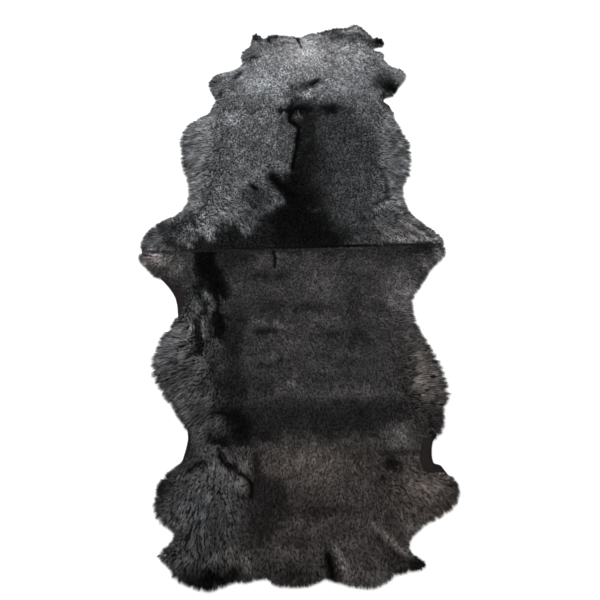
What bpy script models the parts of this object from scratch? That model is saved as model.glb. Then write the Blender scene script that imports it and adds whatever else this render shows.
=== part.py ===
"""A sheepskin rug of two pelts, joined end to end by one cross seam, lying wool side up.

Each pelt is two solids. The skin is a thin tanned sheet, cut to the pelt's outline.
The wool on it is a lumpy slab, with partings and creases in its top and locks at its rim.
Tables and sizes are in millimetres. Objects are in metres, +Z up, +Y along the rug.
"""

import math
import random
from collections import namedtuple

import bmesh
import bpy
from mathutils import Vector
from mathutils.geometry import delaunay_2d_cdt
from mathutils.kdtree import KDTree

MM = 0.001

# Skin: tanned sheep's leather, cut back under the wool where the wool overhangs its edge.
SKIN_THICKNESS = 2.0
SKIN_TUCK = 4.0
PIECE_GAP = 0.3

# Wool: heights above the skin's top.
WOOL_HEIGHT = 19.0
RIM_HEIGHT = 6.5
SHOULDER_WIDTH = 38.0
SHOULDER_START = -4.0
SEAM_EDGE_HEIGHT = 11.5
SEAM_WOOL_GAP = 0.8

# Locks at the rim: one on each pitch, drooping to the floor and lying level on it.
LOCK_PITCH = 20.5
PITCH_SPREAD = 0.16
GAP_SHARE = 0.26
SHORTEST_LOCK = 3.5
LOCK_REACH = (0.88, 1.22)
LOCK_KNEE = 0.52
KNEE_WIDTH = (0.66, 0.86)
KNEE_HEIGHT = (4.5, 7.0)
KNEE_TOP_SHARE = 0.8
SHORT_KNEE_SHARE = 0.5
SHORT_KNEE_HEIGHT = 1.5
LEAN_SWING_DEG = 13.0
LEAN_SWING_STEP = 0.9
LEAN_SPREAD_DEG = 6.0
TIP_TURN = 1.8
MOST_LOCKS = 300

# Spacing of the points in the wool's top, and how near two of them may be.
TOP_SPACING = 27.0
TOP_CLEARANCE = 10.5
TOP_JITTER = 5.0
CREASE_STEP = 22.0
SEAM_STEP = 30.0
LEAST_EDGE = 2.2
TANGENT_SHARE = 0.02
LEAST_KNOT = 0.01
MEETING_DISTANCE = 0.0001
EVERY_TRIANGLE = 0
SEED = 41

# The seam crosses the rug a little aslant, below the middle of its length.
SEAM_Y = -36.0
SEAM_SLOPE = 0.035

# A rim point is on the outline seen from above. Lock is how far the wool's tips reach past
# the slab there, and bare is how far naked skin reaches past the wool.
RimPoint = namedtuple("RimPoint", "x y lock bare")
Crease = namedtuple("Crease", "name half_width depth path")
Swell = namedtuple("Swell", "name x y radius_x radius_y rise")
Station = namedtuple("Station", "x y out_x out_y lock wool_inset skin_inset starts_lock")

# From the seam's left end, up the left flank, over the neck and down the right flank.
UPPER_RIM = [RimPoint(*row) for row in (
    # Left flap
    (-430, -13, 9, 0), (-417, 29, 12, 0), (-382, 64, 12, 0), (-338, 90, 12, 0),
    # Left flank
    (-311, 134, 14, 0), (-310, 166, 16, 0), (-314, 204, 18, 0), (-333, 268, 22, 0),
    (-348, 344, 24, 0), (-352, 388, 24, 0), (-341, 458, 22, 0), (-309, 485, 16, 0),
    (-277, 502, 12, 0), (-261, 550, 8, 0), (-253, 566, 3, 0),
    # Left fore leg
    (-267, 601, 8, 0), (-282, 655, 10, 0), (-255, 694, 8, 0), (-210, 711, 8, 0),
    (-175, 738, 6, 0), (-171, 757, 4, 0), (-180, 797, 9, 0), (-150, 832, 6, 0),
    # Neck, with a notch beside its left point
    (-145, 878, 8, 0), (-136, 901, 6, 0), (-118, 885, 5, 0), (-100, 867, 2, 0),
    (-83, 892, 6, 0), (-45, 888, 8, 0), (-2, 882, 4, 0), (10, 875, 2, 0), (29, 883, 6, 0),
    (67, 904, 10, 0), (102, 907, 8, 0), (140, 928, 12, 0), (188, 929, 10, 0),
    (218, 952, 12, 0), (248, 926, 10, 0), (271, 888, 6, 0),
    # Curled shank
    (279, 871, 2, 0), (299, 877, 4, 0), (315, 857, 6, 0), (304, 836, 4, 0), (281, 832, 2, 0),
    (275, 815, 2, 0), (312, 792, 6, 0), (306, 773, 4, 0),
    # Right fore leg, with bare skin in the notch behind it
    (334, 732, 10, 0), (366, 716, 8, 0), (379, 690, 10, 0), (354, 640, 8, 0), (328, 595, 5, 0),
    (301, 579, 0, 5), (297, 567, 0, 9), (315, 544, 0, 12), (322, 520, 0, 5),
    # Right flank
    (322, 496, 10, 0), (344, 429, 18, 0), (365, 372, 24, 0), (368, 325, 26, 0),
    (354, 255, 22, 0), (333, 197, 18, 0), (332, 166, 16, 0), (342, 105, 7, 0),
    # Right flap
    (379, 57, 9, 0), (417, 22, 10, 0), (435, -4, 10, 0),
)]

# From the seam's right end, down the right flank, over the tail end and up the left flank.
LOWER_RIM = [RimPoint(*row) for row in (
    # Right flap
    (435, -40, 10, 0), (427, -61, 9, 0), (392, -96, 10, 0), (363, -143, 10, 0),
    # Right flank
    (331, -191, 12, 0), (325, -230, 14, 0), (331, -274, 16, 0), (354, -331, 20, 0),
    (385, -414, 26, 0), (393, -480, 26, 0), (390, -519, 24, 0), (366, -580, 9, 0),
    # Bare corner before the right hind leg
    (354, -596, 0, 12), (344, -611, 0, 28), (341, -663, 0, 36), (357, -669, 0, 24),
    (371, -689, 0, 9),
    # Right hind leg
    (385, -704, 5, 0), (395, -721, 10, 0), (392, -745, 12, 0), (376, -768, 10, 0),
    (334, -794, 12, 0), (303, -809, 9, 0), (268, -841, 5, 0), (264, -863, 4, 0),
    (274, -878, 3, 0), (301, -895, 4, 0), (280, -905, 4, 0),
    # Tail end, scalloped
    (233, -914, 8, 0), (201, -936, 12, 0), (175, -943, 12, 0), (118, -935, 8, 0),
    (92, -926, 3, 0), (78, -919, 2, 0), (61, -930, 6, 0), (10, -941, 8, 0),
    (-38, -933, 6, 0), (-56, -919, 2, 0), (-92, -933, 10, 0), (-121, -930, 8, 0),
    (-159, -946, 14, 0), (-210, -942, 14, 0), (-255, -921, 12, 0), (-264, -900, 8, 0),
    (-291, -878, 8, 0), (-264, -847, 7, 0),
    # Left hind leg
    (-259, -826, 5, 0), (-293, -803, 12, 0), (-311, -780, 14, 0), (-314, -740, 14, 0),
    (-296, -698, 8, 0), (-268, -672, 4, 0),
    # Left flank, with bare crescents below and above it
    (-259, -657, 0, 9), (-253, -631, 0, 15), (-250, -602, 0, 11), (-268, -557, 7, 0),
    (-303, -506, 16, 0), (-331, -471, 22, 0), (-357, -400, 26, 0), (-355, -357, 24, 0),
    (-328, -299, 20, 0), (-310, -267, 5, 0), (-307, -245, 0, 15), (-318, -197, 0, 30),
    (-350, -150, 0, 14), (-376, -129, 4, 0),
    # Left flap
    (-411, -96, 9, 0), (-433, -66, 9, 0),
)]

# Partings, slits and creases in the wool. A negative depth is a raised ridge.
UPPER_CREASES = (
    Crease("parting on the back", 10, 8.0,
           ((-8, 560), (-6, 500), (-15, 462), (2, 444), (18, 428), (13, 370), (6, 310), (0, 262))),
    Crease("edge of the swept back tongue", 12, 4.5, ((-78, 238), (-50, 190), (-18, 140), (2, 100))),
    Crease("slit in the neck", 8, 7.0, ((10, 868), (23, 842), (27, 812))),
    Crease("fold round the neck tuft", 9, 5.5,
           ((-90, 872), (-86, 850), (-66, 833), (-44, 833), (-30, 856))),
    Crease("hollow behind the neck", 13, 5.0, ((76, 662), (70, 638), (48, 618), (8, 604))),
    Crease("inner line of the right flank", 11, 3.5, ((276, 300), (284, 240), (284, 190), (272, 132))),
    Crease("inner line of the right flap", 10, 3.0, ((300, 118), (340, 84), (380, 38))),
    Crease("crease of the left fore leg", 9, 4.0, ((-238, 566), (-205, 548), (-170, 540))),
    Crease("crease of the right fore leg", 10, 4.0, ((286, 574), (282, 600), (296, 628))),
    Crease("ridge on the right flap", 13, -4.0, ((250, -6), (310, -4), (380, -2))),
)

LOWER_CREASES = (
    Crease("slit below the seam", 8, 7.0, ((-57, -50), (-49, -76), (-48, -106))),
    Crease("swept back band", 34, 5.0,
           ((-250, -70), (-242, -130), (-220, -200), (-205, -262), (-196, -335))),
    Crease("parting round the whorl", 10, 8.0,
           ((-166, -650), (-152, -684), (-118, -697), (-99, -716), (-96, -748))),
    Crease("parting inside the whorl", 9, 5.0, ((-82, -640), (-86, -668), (-80, -694))),
    Crease("ridge to the right shank", 11, -5.0,
           ((178, -808), (214, -838), (246, -868), (276, -890))),
    Crease("pucker in the tail end", 9, 9.0, ((84, -872), (86, -896), (86, -912))),
    Crease("ridge beside the pucker", 9, -3.5, ((104, -868), (110, -896), (118, -920))),
    Crease("fold of the right hind leg", 10, 4.0, ((226, -668), (262, -652), (296, -640))),
    Crease("inner line of the right flank", 11, 3.5,
           ((304, -300), (306, -360), (300, -430), (304, -500), (300, -560))),
    Crease("inner line of the left flank", 11, 3.5, ((-262, -300), (-236, -380), (-212, -470))),
)

# Broad rises and hollows, where the wool is longer, shorter or pressed.
UPPER_SWELLS = (
    Swell("neck, short wool", 30, 800, 130, 90, -4.5),
    Swell("left flank, long wool", -290, 350, 70, 150, 4.0),
    Swell("right flank, long wool", 325, 330, 60, 150, 4.0),
    Swell("pressed patch on the back", 30, 525, 70, 34, -4.0),
    Swell("hollow of the right fore leg", 310, 625, 28, 36, -4.0),
    Swell("swept back middle", 60, 120, 110, 130, -3.0),
    Swell("left flap", -380, 10, 50, 60, 2.0),
)

LOWER_SWELLS = (
    Swell("left flank, long streaks", -290, -410, 80, 130, 6.5),
    Swell("left hind leg", -220, -780, 90, 110, 5.0),
    Swell("right flank, long wool", 350, -470, 60, 130, 5.0),
    Swell("hollow beside the whorl", -128, -570, 50, 44, -6.0),
    Swell("tuft inside the whorl", -132, -664, 34, 24, 4.0),
    Swell("right hind leg", 330, -750, 60, 50, 2.0),
    Swell("pressed patch of the right hind leg", 238, -672, 26, 18, -4.0),
    Swell("tail end, short wool", 20, -900, 160, 50, -3.0),
)

# Small lumps all over the wool: wavelength along x and y, and height. Each row of lumps
# fades in and out over a longer wave.
Lump = namedtuple("Lump", "wave_x wave_y height")
FADE_SHARE = 0.37
LUMPS = (Lump(173, 141, 1.6), Lump(-97, 83, 1.3), Lump(61, -71, 1.0))


def seam_y(x):
    """Height of the seam line at x."""
    return SEAM_Y + SEAM_SLOPE * x


def smooth_step(value):
    """Rise from 0 to 1 with level ends."""
    value = min(max(value, 0.0), 1.0)
    return value * value * (3.0 - 2.0 * value)


def curve_point(before, start, end, after, share):
    """Position at a share of the span from start to end of a centripetal Catmull-Rom curve."""
    knots = [0.0]
    for first, second in ((before, start), (start, end), (end, after)):
        knots.append(knots[-1] + math.sqrt(max((second - first).length, LEAST_KNOT)))
    t = knots[1] + (knots[2] - knots[1]) * share

    def mix(first, second, low, high):
        return first * ((high - t) / (high - low)) + second * ((t - low) / (high - low))

    a1 = mix(before, start, knots[0], knots[1])
    a2 = mix(start, end, knots[1], knots[2])
    a3 = mix(end, after, knots[2], knots[3])
    b1 = mix(a1, a2, knots[0], knots[2])
    b2 = mix(a2, a3, knots[1], knots[3])
    return mix(b1, b2, knots[1], knots[2])


def seam_end(rim_point):
    """The point of the seam line beside a rim point."""
    return RimPoint(rim_point.x, seam_y(rim_point.x), rim_point.lock, 0)


def shares_of_span(length, draw):
    """Shares along a span where the rim has a corner, each with whether a lock starts there."""
    pitches = round(length / LOCK_PITCH)
    borders = [0.0]
    for pitch in range(1, pitches):
        borders.append((pitch + draw.uniform(-PITCH_SPREAD, PITCH_SPREAD)) / pitches)
    borders.append(1.0)
    shares = [(0.0, False)]
    if pitches > 0:
        for low, high in zip(borders, borders[1:]):
            side = 0.5 * GAP_SHARE * (high - low) * draw.uniform(0.7, 1.3)
            shares.append((low + side, True))
            shares.append((high - side, False))
    return shares


def rim_stations(table):
    """Corners of the rim from one end of the seam to the other, clockwise seen from above."""
    draw = random.Random(SEED)
    rows = [seam_end(table[0])] + list(table) + [seam_end(table[-1])]
    places = [Vector((row.x, row.y)) for row in rows]
    places = [places[0] * 2 - places[1]] + places + [places[-1] * 2 - places[-2]]
    stations = []
    for index in range(len(rows) - 1):
        span = places[index:index + 4]
        first = rows[index]
        second = rows[index + 1]
        length = (span[2] - span[1]).length
        shares = shares_of_span(length, draw)
        if index == len(rows) - 2:
            shares.append((1.0, False))
        for share, starts_lock in shares:
            place = curve_point(*span, share)
            ahead = curve_point(*span, min(share + TANGENT_SHARE, 1.0))
            behind = curve_point(*span, max(share - TANGENT_SHARE, 0.0))
            along = (ahead - behind).normalized()
            lock = first.lock + (second.lock - first.lock) * share
            bare = first.bare + (second.bare - first.bare) * share
            skin_inset = lock + SKIN_TUCK * (1.0 - smooth_step(bare / SKIN_TUCK))
            stations.append(Station(place.x, place.y, -along.y, along.x, lock,
                                    lock + bare, skin_inset, starts_lock))
    return stations


def inset_corner(station, inset, seam_gap, is_upper):
    """A station moved inward, and kept its share of the gap away from the seam."""
    corner = Vector((station.x - station.out_x * inset, station.y - station.out_y * inset))
    limit = seam_y(corner.x)
    if is_upper:
        corner.y = max(corner.y, limit + 0.5 * seam_gap)
    else:
        corner.y = min(corner.y, limit - 0.5 * seam_gap)
    return corner


def seam_corners(first, last, seam_gap, is_upper):
    """Corners along the seam between the rim's last and first corners."""
    side = 0.5 * seam_gap if is_upper else -0.5 * seam_gap
    steps = max(1, round(abs(first.x - last.x) / SEAM_STEP))
    xs = [last.x + (first.x - last.x) * step / steps for step in range(1, steps)]
    return [Vector((x, seam_y(x) + side)) for x in xs]


def advances(corner, kept, station):
    """Whether a corner lies far enough ahead of the last one kept."""
    if not kept:
        return True
    along = Vector((station.out_y, -station.out_x))
    return (corner - kept[-1][0]).dot(along) > LEAST_EDGE


def skin_outline(stations, is_upper):
    """Corners of the skin's edge, all of them where it is bare and fewer under the wool."""
    kept = []
    for index, station in enumerate(stations):
        is_end = index in (0, len(stations) - 1)
        if not (is_end or station.starts_lock or station.skin_inset < SKIN_TUCK):
            continue
        corner = inset_corner(station, station.skin_inset, PIECE_GAP, is_upper)
        if advances(corner, kept, station):
            kept.append((corner, station))
    corners = [corner for corner, _ in kept]
    return corners + seam_corners(corners[0], corners[-1], PIECE_GAP, is_upper)


def wool_outline(stations, is_upper):
    """Corners of the wool slab's wall, how many of them are off the seam, and its locks.

    The locks give, for the first corner of the wall that grows one, its length and direction.
    """
    kept = []
    for station in stations:
        corner = inset_corner(station, station.wool_inset, SEAM_WOOL_GAP, is_upper)
        if advances(corner, kept, station):
            kept.append((corner, station))
    locks = {}
    for index in range(len(kept) - 1):
        station = kept[index][1]
        after = kept[index + 1][1]
        covers_skin = min(station.skin_inset - station.wool_inset,
                          after.skin_inset - after.wool_inset) > 0.5 * SKIN_TUCK
        long_enough = min(station.lock, after.lock) >= SHORTEST_LOCK
        if station.starts_lock and covers_skin and long_enough:
            outward = Vector((station.out_x + after.out_x, station.out_y + after.out_y))
            locks[index] = (0.5 * (station.lock + after.lock), outward.normalized())
    corners = [corner for corner, _ in kept]
    rim_count = len(corners)
    return corners + seam_corners(corners[0], corners[-1], SEAM_WOOL_GAP, is_upper), rim_count, locks


def inside(point, corners):
    """Whether a point is inside a closed outline."""
    found = False
    last = corners[-1]
    for corner in corners:
        if (corner.y > point.y) != (last.y > point.y):
            crossing = corner.x + (point.y - corner.y) / (last.y - corner.y) * (last.x - corner.x)
            if point.x < crossing:
                found = not found
        last = corner
    return found


def distance_to_path(point, path):
    """Distance from a point to a line of straight steps."""
    nearest = math.inf
    for start, end in zip(path, path[1:]):
        step = end - start
        share = min(max((point - start).dot(step) / step.length_squared, 0.0), 1.0)
        nearest = min(nearest, (point - start - step * share).length)
    return nearest


def crease_points(crease):
    """Points along a crease's middle and both its shoulders."""
    path = [Vector(corner) for corner in crease.path]
    points = []
    for start, end in zip(path, path[1:]):
        step = end - start
        side = Vector((-step.y, step.x)).normalized() * crease.half_width
        count = max(1, round(step.length / CREASE_STEP))
        for index in range(count):
            middle = start + step * (index / count)
            points += [middle, middle + side, middle - side]
    points.append(path[-1])
    return points


def far_from_all(point, points, clearance):
    """Whether a point keeps its clearance from every one of the others."""
    return all((point - other).length > clearance for other in points)


def top_points(corners, creases):
    """Points inside the wool's outline: those of its creases, then an uneven grid."""
    draw = random.Random(SEED)
    kept = []
    for crease in creases:
        for point in crease_points(crease):
            if inside(point, corners) and far_from_all(point, corners + kept, 0.5 * TOP_CLEARANCE):
                kept.append(point)

    low_x = min(corner.x for corner in corners)
    high_x = max(corner.x for corner in corners)
    low_y = min(corner.y for corner in corners)
    high_y = max(corner.y for corner in corners)
    row_height = TOP_SPACING * math.sqrt(3.0) / 2.0
    for row in range(int((high_y - low_y) / row_height) + 1):
        offset = 0.5 * TOP_SPACING * (row % 2)
        for column in range(int((high_x - low_x) / TOP_SPACING) + 1):
            point = Vector((low_x + offset + column * TOP_SPACING, low_y + row * row_height))
            point.x += draw.uniform(-TOP_JITTER, TOP_JITTER)
            point.y += draw.uniform(-TOP_JITTER, TOP_JITTER)
            if inside(point, corners) and far_from_all(point, corners + kept, TOP_CLEARANCE):
                kept.append(point)
    return kept


def wool_height(point, rim_distance, edge_height, creases, swells):
    """Height of the wool above the skin at a point inside its outline."""
    height = WOOL_HEIGHT
    for swell in swells:
        across = (point.x - swell.x) / swell.radius_x
        along = (point.y - swell.y) / swell.radius_y
        height += swell.rise * math.exp(-across * across - along * along)
    for lump in LUMPS:
        angle = 2.0 * math.pi * (point.x / lump.wave_x + point.y / lump.wave_y)
        height += lump.height * math.sin(angle) * math.cos(FADE_SHARE * angle)
    for crease in creases:
        distance = distance_to_path(point, [Vector(corner) for corner in crease.path])
        if distance < crease.half_width:
            height -= crease.depth * (1.0 - (distance / crease.half_width) ** 2) ** 2
    shoulder = smooth_step((rim_distance - SHOULDER_START) / SHOULDER_WIDTH)
    return edge_height + (height - edge_height) * shoulder


def triangles_inside(corners, points):
    """Triangles over an outline and the points in it, as indices into corners + points."""
    places = corners + points
    loop = list(reversed(range(len(corners))))
    result = delaunay_2d_cdt(places, [], [loop], EVERY_TRIANGLE, MEETING_DISTANCE, True)
    new_places, _, faces, sources, _, owners = result
    if len(new_places) != len(places):
        raise ValueError("the outline crosses itself")
    return [[sources[index][0] for index in face] for face, owner in zip(faces, owners) if owner]


def new_object(name, mesh_data, material):
    """An object of the scene made from a finished bmesh in millimetres."""
    bmesh.ops.scale(mesh_data, vec=(MM, MM, MM), verts=mesh_data.verts)
    bmesh.ops.recalc_face_normals(mesh_data, faces=mesh_data.faces)
    mesh = bpy.data.meshes.new(name)
    mesh_data.to_mesh(mesh)
    mesh_data.free()
    mesh.materials.append(material)
    piece = bpy.data.objects.new(name, mesh)
    bpy.context.scene.collection.objects.link(piece)
    return piece


def new_material(name, colour, roughness):
    """A matt natural material."""
    material = bpy.data.materials.new(name)
    material.use_nodes = True
    shader = material.node_tree.nodes["Principled BSDF"]
    shader.inputs["Base Color"].default_value = (*colour, 1.0)
    shader.inputs["Roughness"].default_value = roughness
    material.diffuse_color = (*colour, 1.0)
    return material


def level_face(mesh_data, ring, triangles, facing_up):
    """Close a ring of corners with level triangles."""
    for triangle in triangles:
        order = triangle if facing_up else list(reversed(triangle))
        mesh_data.faces.new([ring[index] for index in order])


def skin_piece(name, stations, is_upper, material):
    """The skin: a level sheet on the floor."""
    corners = skin_outline(stations, is_upper)
    triangles = triangles_inside(corners, [])
    mesh_data = bmesh.new()
    bottom = [mesh_data.verts.new((corner.x, corner.y, 0.0)) for corner in corners]
    top = [mesh_data.verts.new((corner.x, corner.y, SKIN_THICKNESS)) for corner in corners]
    level_face(mesh_data, bottom, triangles, False)
    level_face(mesh_data, top, triangles, True)
    for index in range(len(corners)):
        after = (index + 1) % len(corners)
        mesh_data.faces.new((bottom[after], bottom[index], top[index], top[after]))
    return new_object(name, mesh_data, material)


def turned(direction, degrees):
    """A level direction turned about the vertical."""
    angle = math.radians(degrees)
    cosine = math.cos(angle)
    sine = math.sin(angle)
    return Vector((direction.x * cosine - direction.y * sine,
                   direction.x * sine + direction.y * cosine, 0.0))


def add_lock(mesh_data, root, number, length, outward, draw):
    """A four-sided lock from a wall's corners, drooping to the floor and level on it.

    The root is the wall's lower first, lower second, upper second and upper first corner.
    """
    lean = LEAN_SWING_DEG * math.sin(LEAN_SWING_STEP * number)
    lean += draw.uniform(-LEAN_SPREAD_DEG, LEAN_SPREAD_DEG)
    reach = length * draw.uniform(*LOCK_REACH)
    middle = 0.5 * (root[0].co + root[1].co)
    half = 0.5 * draw.uniform(*KNEE_WIDTH) * (root[1].co - root[0].co)
    middle.z = 0.0
    half.z = 0.0
    knee_middle = middle + turned(outward, lean) * (reach * LOCK_KNEE)
    height = min(draw.uniform(*KNEE_HEIGHT), SHORT_KNEE_SHARE * reach + SHORT_KNEE_HEIGHT)
    rise = Vector((0.0, 0.0, height))
    knee = [mesh_data.verts.new(place) for place in (
        knee_middle - half, knee_middle + half,
        knee_middle + half * KNEE_TOP_SHARE + rise, knee_middle - half * KNEE_TOP_SHARE + rise)]
    last_step = turned(outward, lean * TIP_TURN) * (reach * (1.0 - LOCK_KNEE))
    tip = mesh_data.verts.new(knee_middle + last_step)
    for side in range(4):
        after = (side + 1) % 4
        mesh_data.faces.new((root[side], root[after], knee[after]))
        mesh_data.faces.new((root[side], knee[after], knee[side]))
        mesh_data.faces.new((knee[side], knee[after], tip))


def wool_piece(name, stations, is_upper, creases, swells, material):
    """The wool: a lumpy slab on the skin with locks along its rim."""
    corners, rim_count, locks = wool_outline(stations, is_upper)
    points = top_points(corners, creases)
    base = SKIN_THICKNESS + PIECE_GAP
    edge_heights = [RIM_HEIGHT] * rim_count + [SEAM_EDGE_HEIGHT] * (len(corners) - rim_count)
    edge_heights[0] = SEAM_EDGE_HEIGHT
    edge_heights[rim_count - 1] = SEAM_EDGE_HEIGHT
    finder = KDTree(len(corners))
    for index, corner in enumerate(corners):
        finder.insert((corner.x, corner.y, 0.0), index)
    finder.balance()

    mesh_data = bmesh.new()
    bottom = [mesh_data.verts.new((corner.x, corner.y, base)) for corner in corners]
    top = [mesh_data.verts.new((corner.x, corner.y, base + height))
           for corner, height in zip(corners, edge_heights)]
    for point in points:
        _, nearest, distance = finder.find((point.x, point.y, 0.0))
        height = wool_height(point, distance, edge_heights[nearest], creases, swells)
        top.append(mesh_data.verts.new((point.x, point.y, base + height)))
    level_face(mesh_data, bottom, triangles_inside(corners, []), False)
    level_face(mesh_data, top, triangles_inside(corners, points), True)

    draw = random.Random(SEED)
    for index in range(len(corners)):
        after = (index + 1) % len(corners)
        wall = (bottom[index], bottom[after], top[after], top[index])
        if index in locks:
            add_lock(mesh_data, wall, index, *locks[index], draw)
        else:
            mesh_data.faces.new(wall)
    return new_object(name, mesh_data, material), len(locks)


def centre_on_origin(pieces):
    """Move every piece's mesh so that the rug's plan is centred on the origin."""
    places = [vertex.co for piece in pieces for vertex in piece.data.vertices]
    middle_x = 0.5 * (min(place.x for place in places) + max(place.x for place in places))
    middle_y = 0.5 * (min(place.y for place in places) + max(place.y for place in places))
    for place in places:
        place.x -= middle_x
        place.y -= middle_y


def build_rug():
    """Both pelts, each with its skin and its wool."""
    skin_leather = new_material("dark tanned skin", (0.022, 0.020, 0.020), 0.75)
    upper_dye = new_material("cool grey wool", (0.060, 0.066, 0.074), 0.9)
    lower_dye = new_material("warm black wool", (0.040, 0.037, 0.036), 0.9)
    upper_rim = rim_stations(UPPER_RIM)
    lower_rim = rim_stations(LOWER_RIM)
    upper_wool, upper_locks = wool_piece(
        "upper_wool", upper_rim, True, UPPER_CREASES, UPPER_SWELLS, upper_dye)
    lower_wool, lower_locks = wool_piece(
        "lower_wool", lower_rim, False, LOWER_CREASES, LOWER_SWELLS, lower_dye)
    upper_skin = skin_piece("upper_skin", upper_rim, True, skin_leather)
    lower_skin = skin_piece("lower_skin", lower_rim, False, skin_leather)
    if upper_locks + lower_locks > MOST_LOCKS:
        raise ValueError("too many locks at the rim")
    centre_on_origin([upper_wool, lower_wool, upper_skin, lower_skin])


def clear_scene():
    """Remove every object that the file holds."""
    for piece in list(bpy.data.objects):
        bpy.data.objects.remove(piece, do_unlink=True)


if __name__ == "__main__":
    clear_scene()
    build_rug()
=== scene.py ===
"""A sheepskin rug of two pelts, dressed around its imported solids.

Each pelt gets a hide, a dark underwool and combed wool. The wool stands in clumps whose
fibres lean together at their tips. Tables are in millimetres, seen from above, with +Y along
the rug towards the neck of the upper pelt. Everything else is in metres.
"""

import math
from collections import namedtuple

import bpy
import numpy as np
from bpy.props import FloatProperty, FloatVectorProperty, IntProperty, PointerProperty
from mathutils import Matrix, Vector
from mathutils.bvhtree import BVHTree
from mathutils.geometry import delaunay_2d_cdt


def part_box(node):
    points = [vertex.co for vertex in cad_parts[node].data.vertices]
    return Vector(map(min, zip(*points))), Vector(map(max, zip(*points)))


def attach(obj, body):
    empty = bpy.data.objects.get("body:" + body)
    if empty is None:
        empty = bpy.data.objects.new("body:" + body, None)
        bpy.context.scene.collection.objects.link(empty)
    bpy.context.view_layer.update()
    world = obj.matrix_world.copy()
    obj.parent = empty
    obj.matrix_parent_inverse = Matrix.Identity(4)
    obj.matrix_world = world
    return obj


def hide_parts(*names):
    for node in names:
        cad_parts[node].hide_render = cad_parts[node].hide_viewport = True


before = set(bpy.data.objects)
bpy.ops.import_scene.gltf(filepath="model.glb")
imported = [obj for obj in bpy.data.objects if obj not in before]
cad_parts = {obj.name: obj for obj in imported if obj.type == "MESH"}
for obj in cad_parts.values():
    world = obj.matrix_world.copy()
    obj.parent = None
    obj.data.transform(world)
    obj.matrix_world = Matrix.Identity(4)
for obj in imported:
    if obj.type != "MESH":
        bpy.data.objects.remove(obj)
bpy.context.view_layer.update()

bl_info = {
    "name": "Sheepskin Rug",
    "version": (1, 0, 0),
    "blender": (4, 5, 0),
    "location": "View3D > Sidebar > Rug",
    "description": "Hides, underwool and combed wool for a rug of two sheep's pelts",
    "category": "Object",
}

MM = 0.001
SEED = 7
PELTS = ("upper", "lower")

# The tones hold the wool's dye together with painted light: painted sheen where the nap and the light make it
# look paler, and painted shade in its hollows, folds and seam.
# Tone is how light the wool looks, from 0 to 255. An area has a soft outline, a patch is an
# oval that fades out at its rim, and a stroke is a line with soft sides. Later rows lie over
# earlier ones.
Area = namedtuple("Area", "name soft tone outline")
Patch = namedtuple("Patch", "name x y radius_x radius_y tone turn", defaults=(0,))
Stroke = namedtuple("Stroke", "name half_width tone path")

TONE_WOBBLE = 9.0 * MM
TONE_WOBBLES = ((22.0 * MM, 11), (7.0 * MM, 13))
BASE_TONES = {"upper": 94, "lower": 50}
BASE_WARMTH = {"upper": 0.05, "lower": 0.40}

UPPER_AREAS = (
    Area("right half", 42, 58, (
        (30, 548), (140, 528), (200, 490), (240, 430), (262, 360), (268, 280), (262, 200), (244, 150),
        (232, 90), (240, 20), (250, -60), (20, -60))),
    Patch("dark right of the parting", 34, 420, 60, 130, 29),
    Patch("dark right of the parting, low", 40, 290, 64, 70, 27),
    Area("black, right side", 44, 13, (
        (-30, 290), (36, 262), (66, 210), (90, 150), (104, 90), (130, 40), (160, 10), (160, -60),
        (-120, -60), (-110, 60), (-60, 160))),
    Area("black along the seam", 14, 24, (
        (-292, -60), (-292, 40), (-210, 70), (-100, 90), (-60, 40), (-60, -60))),
    Area("left of the parting", 9, 89, (
        (-14, 556), (-16, 500), (-14, 462), (0, 450), (18, 430), (13, 400), (11, 350), (4, 310),
        (-2, 262), (-12, 244), (-31, 217), (-54, 239), (-79, 240), (-64, 204), (-24, 140), (-34, 118),
        (-64, 92), (-96, 70), (-112, 30), (-122, 6), (-134, 0), (-148, 12), (-156, 36), (-166, 54),
        (-178, 30), (-187, 54), (-196, 22), (-205, 48), (-214, 20), (-226, -16), (-243, -12), (-256, 2),
        (-276, -10), (-288, -52), (-500, -52), (-500, 556))),
    Patch("grey left of the black", -104, 132, 46, 58, 42, 20),
    Patch("grey left of the black, low", -128, 70, 34, 44, 60, 10),
)

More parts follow.
